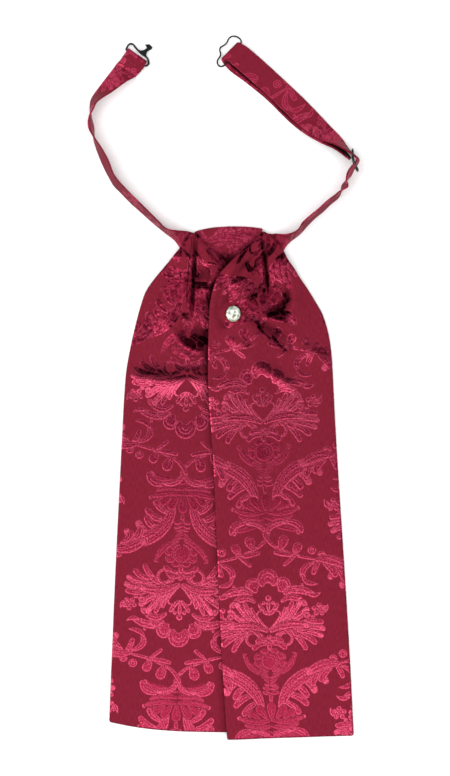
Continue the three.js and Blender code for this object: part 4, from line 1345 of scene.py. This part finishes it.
def plate_piece(name, outline, wall, round_off):
    """A stamped plate from its outline, with softened edges and flat faces."""
    after = np.roll(outline, -1, axis=0)
    way = after - np.roll(outline, 1, axis=0)
    inward = np.stack([-way[:, 1], way[:, 0], 0 * way[:, 0]], axis=1)
    inward /= np.linalg.norm(inward, axis=1)[:, None]
    if np.sum(outline[:, 0] * after[:, 1] - outline[:, 1] * after[:, 0]) < 0:
        outline, inward = outline[::-1], -inward[::-1]
    levels = [(-wall / 2, round_off), (round_off - wall / 2, 0)]
    levels += [(wall / 2 - round_off, 0), (wall / 2, round_off)]
    points = np.vstack([outline + inward * inset + (0, 0, z) for z, inset in levels])
    count = len(outline)
    order = np.arange(len(points)).reshape(-1, count)
    sides = np.vstack([joined(a, b) for a, b in zip(order, order[1:])])
    flat = np.array(tessellate_polygon([[Vector(p) for p in points[:count]]]))
    first = points[flat[0]]
    if np.cross(first[1] - first[0], first[2] - first[0])[2] > 0:
        flat = flat[:, ::-1]
    flats = np.vstack([flat, flat[:, ::-1] + 3 * count])
    return new_piece(name, points, [sides, flats], smooth=False)


hook_turn = math.atan2(HOOK_ACROSS[1], HOOK_ACROSS[0])
hook_seat = (*HOOK_END, TUNNEL_MIDDLE)
hook_frame = closed_line(seated(HOOK_FRAME, hook_seat, hook_turn), HOOK_POINTS)
hook_wire = wire_piece("hook_wire", [(hook_frame, HOOK_WIRE, True)])
hook_outline = closed_line(seated(HOOK_PLATE, hook_seat, hook_turn), PLATE_POINTS)
hook_plate = plate_piece("hook_plate", hook_outline, HOOK_PLATE_WALL, HOOK_PLATE_ROUND)
loop_turn = math.atan2(DOUBLED_WAY[0], -DOUBLED_WAY[1])
loop_seat = (*DOUBLED, TUNNEL_MIDDLE)
loop_frame = closed_line(seated(LOOP_FRAME, loop_seat, loop_turn), LOOP_POINTS)
loop_wire = wire_piece("loop_wire", [(loop_frame, LOOP_WIRE, True)])


def slider_wires():
    """The slider's frame, bent from one wire, and the bar in its middle."""
    bars = [np.array((row["x"], row["y"])) for row in SLIDER_BARS]
    along = smooth_line(np.array(bars), np.linspace(0, 2, 17))
    low = [np.array((*p, SLIDER_LOW)) for p in along]
    high = [np.array((*p, SLIDER_HIGH)) for p in along[::-1]]
    middle_height = (SLIDER_LOW + SLIDER_HIGH) / 2
    rise = [SLIDER_LOW + SLIDER_CORNER, middle_height, SLIDER_HIGH - SLIDER_CORNER]
    up = [np.array((*bars[2], z)) for z in rise]
    down = [np.array((*bars[0], z)) for z in rise[::-1]]
    trim = slice(1, -1)
    frame_line = closed_line(np.array(low[trim] + up + high[trim] + down), SLIDER_POINTS)
    middle = np.array([(*bars[1], z) for z in np.linspace(SLIDER_LOW, SLIDER_HIGH, 9)])
    return [(frame_line, SLIDER_WIRE, True), (middle, SLIDER_BAR, False)]


slider_frame = wire_piece("slider_frame", slider_wires())

# The pin: a cut stone in a shallow gilt cup
CUP_PROFILE = table("r z", """
0 0
0.86 0
0.97 0.2
1 0.5
1 1.75
0.985 2.0
0.955 2.1
0.92 2.0
0.9 1.8
0.9 0.75
0 0.75
""")
CUP_GAP = 0.3
STONE_FIT = 0.93
STONE_SEAT = 1.1
FACETS_EACH = 10  # in each eighth of the stone, its part of the table first
TABLE_PAINTED_GLINTS = (0.35, 0.9, 1.0, 0.6, 0.9, 0.1, 0.3, 0.7)  # painted glints: how bright each table facet's painted reflection is
pin_centre = np.array((PIN_X, PIN_Y, pin_seat + BLADE_WALL + CUP_GAP))
pin_scale = np.array((PIN_RX, PIN_RY, 1.0))


CUP_SIDES = 64


def turned_ring(radius, height, sides, twist=0.0):
    angles = 2 * math.pi * (np.arange(sides) + twist) / sides
    return np.stack(
        [radius * np.cos(angles), radius * np.sin(angles), np.full(sides, height)], axis=1
    )


def make_cup():
    rings = [turned_ring(row["r"], row["z"], CUP_SIDES) for row in CUP_PROFILE[1:-1]]
    ends = np.array([(0, 0, CUP_PROFILE[0]["z"]), (0, 0, CUP_PROFILE[-1]["z"])])
    points, sides, caps = tube(np.array(rings), ends)
    return new_piece("pin_cup_gilt", points * pin_scale + pin_centre, [sides, caps])


def make_stone():
    """A cushion-cut stone: table, stars, kites and girdle over a shallow pavilion, each facet with
    a painted glint.
    """
    eight = 8
    rings = [
        turned_ring(0.5, 3.0, eight, 0.5),  # round the table
        turned_ring(0.8, 2.35, eight),  # the crown's kites
        turned_ring(1.0, 1.45, 2 * eight),  # the girdle's upper edge
        turned_ring(1.0, 1.25, 2 * eight),  # and its lower one
        turned_ring(0.45, 0.25, eight, 0.5),  # the pavilion
    ]
    points = np.vstack([*rings, (0, 0, 0), (0, 0, 3.0)])
    t, c, g, k, p = 0, 8, 16, 32, 48  # where each ring's points start
    bottom, top = 56, 57
    faces = []
    for i in range(eight):
        n = (i + 1) % eight
        faces.append((top, t + i, t + n))
        faces.append((t + i, c + i, c + n))
        faces.append((t + i, c + n, t + n))
        faces.append((c + i, g + 2 * i, g + 2 * i + 1))
        faces.append((c + i, g + 2 * i + 1, c + n))
        faces.append((c + n, g + 2 * i + 1, g + (2 * i + 2) % 16))
        faces.append((k + 2 * i, p + i, k + 2 * i + 1))
        faces.append((k + 2 * i + 1, p + i, k + (2 * i + 2) % 16))
        faces.append((p + i, p + n, k + (2 * i + 2) % 16))
        faces.append((bottom, p + n, p + i))
    for i in range(16):
        n = (i + 1) % 16
        faces.append((g + i, k + i, k + n))
        faces.append((g + i, k + n, g + n))
    scale = pin_scale * (STONE_FIT, STONE_FIT, 1)
    points = points * scale + pin_centre + (0, 0, STONE_SEAT)
    piece = new_piece("pin_stone_cut", points, [np.array(faces)], smooth=False)
    # each facet's painted reflection, as a value the material turns into white, grey-green or amber
    piece.data.attributes.new("painted_glint", "FLOAT", "FACE")
    shine = np.random.default_rng(7).uniform(0.3, 1.0, len(faces))
    shine[FACETS_EACH * np.arange(eight)] = TABLE_PAINTED_GLINTS
    piece.data.attributes["painted_glint"].data.foreach_set("value", shine.astype(np.float32))
    return piece


pin_cup = make_cup()
pin_stone = make_stone()

# Stitches: where the folded left end is sewn down behind the hook
STITCH_LENGTH = 1.9
STITCH_THREAD = 0.42
STITCH_SPACE = 0.75
STITCH_BACK = 7.4  # from the folded edge
STITCH_DIP = 0.3  # how deep a stitch goes in at its ends
SEAM_INSET = 0.8  # from each edge of the band


def hook_stitches():
    """A row of stitches across the band's end, lying on its upper face."""
    wires = []
    pitch = STITCH_LENGTH + STITCH_SPACE
    count = int((BAND_WIDTH - 2 * SEAM_INSET) / pitch)
    seam = np.array((*HOOK_END, 0)) - HOOK_OUT * STITCH_BACK
    top = TUNNEL_MIDDLE + ARC_RADIUS + BAND_WALL / 2 + 0.02
    for k in range(count):
        start = (k - count / 2) * pitch + STITCH_SPACE / 2
        line = []
        for part in np.linspace(0, 1, 7):
            dip = STITCH_DIP * abs(2 * part - 1) ** 3
            line.append(seam + HOOK_ACROSS * (start + STITCH_LENGTH * part) + (0, 0, top - dip))
        wires.append((np.array(line), STITCH_THREAD, False))
    return wire_piece("hook_end_stitching", wires)


stitching = hook_stitches()

for piece, body, node, slot in (
    (blade_left, "cravat", "blade_left", "damask"),
    (blade_right, "cravat", "blade_right", "damask"),
    (yoke, "cravat", "yoke", "damask"),
    (band_left, "cravat", "neckband_left", "damask"),
    (band_right, "cravat", "neckband_right", "damask"),
    (hook_wire, "hook", "hook", "black_metal"),
    (hook_plate, "hook", "hook", "black_metal"),
    (loop_wire, "loop", "loop", "black_metal"),
    (slider_frame, "cravat", "slider", "black_metal"),
    (pin_cup, "cravat", "pin_cup", "gilt_metal"),
    (pin_stone, "cravat", "pin_stone", "stone"),
):
    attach(piece, body)
    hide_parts(node)
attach(stitching, "cravat")


# Materials
def linear(hex_colour):
    """An sRGB hex colour as Blender's linear one."""
    parts = [int(hex_colour[i : i + 2], 16) / 255 for i in (1, 3, 5)]
    return (*[p / 12.92 if p <= 0.04045 else ((p + 0.055) / 1.055) ** 2.4 for p in parts], 1.0)


def add(tree, kind, inputs, out=0, **settings):
    """Adds a node with its settings. An input is a value or a link, and one output comes back."""
    made = tree.nodes.new("ShaderNode" + kind)
    for name, value in settings.items():
        setattr(made, name, value)
    for name, value in inputs.items():
        if isinstance(value, bpy.types.NodeSocket):
            tree.links.new(value, made.inputs[name])
        else:
            made.inputs[name].default_value = value
    return made.outputs[out] if made.outputs else made


def new_material(name):
    material = bpy.data.materials.new(name)
    material.use_nodes = True
    material.node_tree.nodes.clear()
    return material, material.node_tree


# Damask shows its two weaves by lustre more than by colour. The warp-faced ground scatters
# light and stays a dull wine red. The figure's long floats shine like satin, and painted light
# adds to their gloss: painted shade where the cloth leans away from the light, and a painted
# highlight in pink where it leans to it. Where the pleats crumple the cloth, painted light and
# shade break the floats up into small bright and dark spots.
GROUND = "#782030"
GROUND_THREAD = "#6A1828"
FIGURE_BODY = "#841A34"
# the bright float colour: drawn at the figure's edges and veins, and reached as a painted highlight
# where the cloth leans to the light
FIGURE_LINE = "#DC5475"
# the painted shade's colour, for the folds' hollows, for floats that lean away from the light, and
# for the crumples
PAINTED_FOLD_SHADE = "#1E040A"
GRAZING = "#7A1A2C"  # silk seen along its surface stays red
CLOTH_VALUES = "figure vein tone hollow gather lean pressed weft warp"
# Noise in the cloth's own millimetres: a ragged edge on each step of the figure, floats of
# uneven shine, warp threads drawn four times as coarse as they are, and crumples
CLOTH_NOISE = table("name across up detail", """
ragged 1.5 1.5 2
floats 1.1 0.8 3
threads 2.6 0.22 3
crumple 0.4 0.3 4
""")
# What is made of them, step by step. MapRange takes a value from two ends to two others. The
# line is how bright the figure is: at its edges and veins, less where it is pressed, dimmed in
# painted spots of shade where it is crumpled, and raised as a painted highlight where it leans
# to the light. The shade is painted shade: in the folds' hollows, under the edges of the layers
# over the cloth, on floats that lean away from the light, and in the crumples.
CLOTH_STEPS = """
jag MapRange ragged 0.3 0.7 -0.16 0.16
figure ADD figure jag
in_figure MapRange figure -0.14 0.14 0 1
near_edge MapRange figure 0.95 0.45 0 1
in_vein MapRange vein -0.14 0.14 0 1
drawn MAXIMUM near_edge in_vein
drawn MULTIPLY drawn 0.62
uneven MapRange floats 0.4 0.6 -0.26 0.46
line ADD drawn uneven
patches MapRange crumple 0.42 0.6 -0.9 -0.25
patches MULTIPLY patches gather
patches ADD 1 patches
line MULTIPLY line patches
dulled MULTIPLY pressed -0.3
dulled ADD tone dulled
line MULTIPLY line dulled
line MULTIPLY line in_figure
toward MapRange lean 0.02 0.25 1 1.75
line MULTIPLY line toward
away MapRange lean -0.05 -0.32 0 0.75
crushed MapRange crumple 0.5 0.36 0 0.6
crushed MULTIPLY crushed gather
away ADD away crushed
away MULTIPLY away in_figure
shade MapRange hollow 0.3 3 0 0.88
shade ADD shade away
ribs MapRange threads 0.36 0.64 0 1
thread_height MULTIPLY threads 0.35
height MapRange figure -0.1 0.9 0 1
height ADD thread_height height
vein_depth MULTIPLY in_vein -0.4
height ADD height vein_depth
crumple_height MULTIPLY crumple gather
metal MapRange in_figure 0 1 0.12 0.8
unpressed MapRange pressed 0 1 1 0.4
metal MULTIPLY metal unpressed
rough MapRange in_figure 0 1 0.5 0.34
"""
CLOTH_COLOURS = (
    ("ground", "ribs", GROUND_THREAD, GROUND),
    ("floated", "line", FIGURE_BODY, FIGURE_LINE),
    ("colour", "in_figure", "ground", "floated"),
    ("colour", "shade", "colour", PAINTED_FOLD_SHADE),
)


def silk_damask():
    material, tree = new_material("silk_damask")
    made = {
        name: add(tree, "Attribute", {}, 2, attribute_name=name) for name in CLOTH_VALUES.split()
    }
    place = add(tree, "CombineXYZ", {"X": made["weft"], "Y": made["warp"]})
    for row in CLOTH_NOISE:
        fineness = (row["across"], row["up"], 1)
        scaled = add(tree, "VectorMath", {0: place, 1: fineness}, operation="MULTIPLY")
        made[row["name"]] = add(tree, "TexNoise", {
            "Vector": scaled, "Scale": 1.0, "Detail": row["detail"]
        })
    for name, kind, *inputs in map(str.split, CLOTH_STEPS.strip().splitlines()):
        values = {k: made[v] if v in made else float(v) for k, v in enumerate(inputs)}
        settings = {} if kind == "MapRange" else {"operation": kind}
        made[name] = add(tree, "Math" if settings else kind, values, **settings)
    for name, share, *ends in CLOTH_COLOURS:
        low, high = (made[end] if end in made else linear(end) for end in ends)
        inputs = {0: made[share], 6: low, 7: high}
        made[name] = add(tree, "Mix", inputs, 2, data_type="RGBA")
    woven = add(tree, "Bump", {"Strength": 0.6, "Distance": 0.0002, "Height": made["height"]})
    crumpled = add(tree, "Bump", {
        "Strength": 0.6, "Distance": 0.0012, "Height": made["crumple_height"], "Normal": woven
    })
    surface = add(tree, "BsdfPrincipled", {
        "Base Color": made["colour"],
        "Metallic": made["metal"],
        "Roughness": made["rough"],
        "Specular IOR Level": 0.03,
        "Specular Tint": linear(GRAZING),
        "Normal": crumpled,
    })
    add(tree, "OutputMaterial", {"Surface": surface})
    return material


def mottled_material(name, fineness, darker_colour, lighter_colour, smooth, rough, settings):
    """A smooth material, a little uneven in colour and in gloss."""
    material, tree = new_material(name)
    place = add(tree, "TexCoord", {}, 3)
    mottle = add(tree, "TexNoise", {"Vector": place, "Scale": fineness, "Detail": 3.0})
    share = add(tree, "MapRange", {"Value": mottle, "From Min": 0.4, "From Max": 0.66})
    colour = add(tree, "Mix", {
        0: share, 6: linear(darker_colour), 7: linear(lighter_colour)
    }, 2, data_type="RGBA")
    gloss = add(tree, "MapRange", {"Value": mottle, "To Min": smooth, "To Max": rough})
    surface = add(tree, "BsdfPrincipled", {"Base Color": colour, "Roughness": gloss} | settings)
    add(tree, "OutputMaterial", {"Surface": surface})
    return material


def cut_crystal():
    """Clear cut crystal: each facet's colour is a painted reflection, white, grey-green or amber.
    """
    material, tree = new_material("cut_crystal")
    painted_glint = add(tree, "Attribute", {}, 2, attribute_name="painted_glint")
    pale = add(tree, "MapRange", {"Value": painted_glint, "From Min": 0.3, "From Max": 0.9})
    warm = add(tree, "MapRange", {"Value": painted_glint, "From Min": 0.22, "From Max": 0.18})
    colour = add(tree, "Mix", {
        0: pale, 6: linear("#7E8874"), 7: linear("#EAECE4")
    }, 2, data_type="RGBA")
    colour = add(tree, "Mix", {0: warm, 6: colour, 7: linear("#A87838")}, 2, data_type="RGBA")
    surface = add(tree, "BsdfPrincipled", {
        "Base Color": colour, "Roughness": 0.05, "IOR": 1.54, "Coat Weight": 1.0
    })
    add(tree, "OutputMaterial", {"Surface": surface})
    return material


damask_cloth = silk_damask()
for piece in (blade_left, blade_right, yoke, band_left, band_right):
    piece.data.materials.append(damask_cloth)
# Steel wire, stamped and dipped in black enamel: a soft grey-green gloss on near black
enamel = mottled_material(
    "black_enamelled_steel", 700.0, "#070B0A", "#111A17", 0.3, 0.5, {"Metallic": 0.0, "IOR": 1.5}
)
for piece in (hook_wire, hook_plate, loop_wire, slider_frame):
    piece.data.materials.append(enamel)
# Gilt brass, its gilding worn pale in places
pin_cup.data.materials.append(
    mottled_material("gilt_brass", 900.0, "#C9AE72", "#E6DFC8", 0.25, 0.45, {"Metallic": 1.0})
)
pin_stone.data.materials.append(cut_crystal())
# Red silk buttonhole thread, with painted light and shade along its twist
stitching.data.materials.append(
    mottled_material("silk_thread", 2500.0, "#6A1428", "#A02C46", 0.5, 0.6, {"IOR": 1.5})
)

# White paper
FLOOR_HALF = 3.0
FLOOR_LEVEL = -0.0002
floor_mesh = bpy.data.meshes.new("paper")
corners = [
    (x * FLOOR_HALF, y * FLOOR_HALF, FLOOR_LEVEL) for x, y in ((-1, -1), (1, -1), (1, 1), (-1, 1))
]
floor_mesh.from_pydata(corners, [], [(0, 1, 2, 3)])
paper = bpy.data.objects.new("paper", floor_mesh)
bpy.context.scene.collection.objects.link(paper)
floor_mesh.materials.append(
    mottled_material("white_paper", 400.0, "#F8F8F8", "#FBFBFB", 0.9, 0.95, {"IOR": 1.5})
)

# A dim studio, darkest behind the cravat's top
world = bpy.data.worlds.new("studio")
bpy.context.scene.world = world
world.use_nodes = True
world.node_tree.nodes.clear()
way = add(world.node_tree, "TexCoord", {})
toward_top = add(world.node_tree, "SeparateXYZ", {"Vector": way}, 1)
dimmer = add(world.node_tree, "MapRange", {
    "Value": toward_top, "From Min": 0.0, "From Max": 0.45, "To Min": 0.24, "To Max": 0.04
})
glow = add(world.node_tree, "Background", {"Color": (1, 1, 1, 1), "Strength": dimmer})
add(world.node_tree, "OutputWorld", {"Surface": glow})
bpy.context.scene.view_settings.view_transform = "Standard"


# Soft rectangles, each from a place to a target in metres, its width, height and watts. The
# silk's shine doesn't mirror the first three, and the last two are seen only in it.
for name, place, target, width, height, watts, not_in in (
    ("key", (-1.2, 0.2, 1.3), (0, 0, 0), 2.4, 2.4, 36, "visible_glossy"),
    ("fill", (1.4, -0.4, 1.1), (0, 0, 0), 2.2, 2.2, 22, "visible_glossy"),
    ("overhead", (0, 0, 1.7), (0, 0, 0), 2.6, 2.6, 27, "visible_glossy"),
    ("edge", (-0.9, -0.2, 0.5), (0, 0, 0), 0.4, 1.2, 6.5, "visible_diffuse"),
    ("lustre", (0, -0.45, 0.5), (0, -0.45, 0), 0.7, 0.62, 2.5, "visible_diffuse"),
):
    lamp = bpy.data.lights.new(name, "AREA")
    lamp.shape = "RECTANGLE"
    lamp.size, lamp.size_y = width, height
    lamp.energy = watts
    light = bpy.data.objects.new(name, lamp)
    light.location = place
    light.rotation_euler = (Vector(target) - Vector(place)).to_track_quat("-Z", "Y").to_euler()
    light.visible_camera = False
    setattr(light, not_in, False)
    bpy.context.scene.collection.objects.link(light)
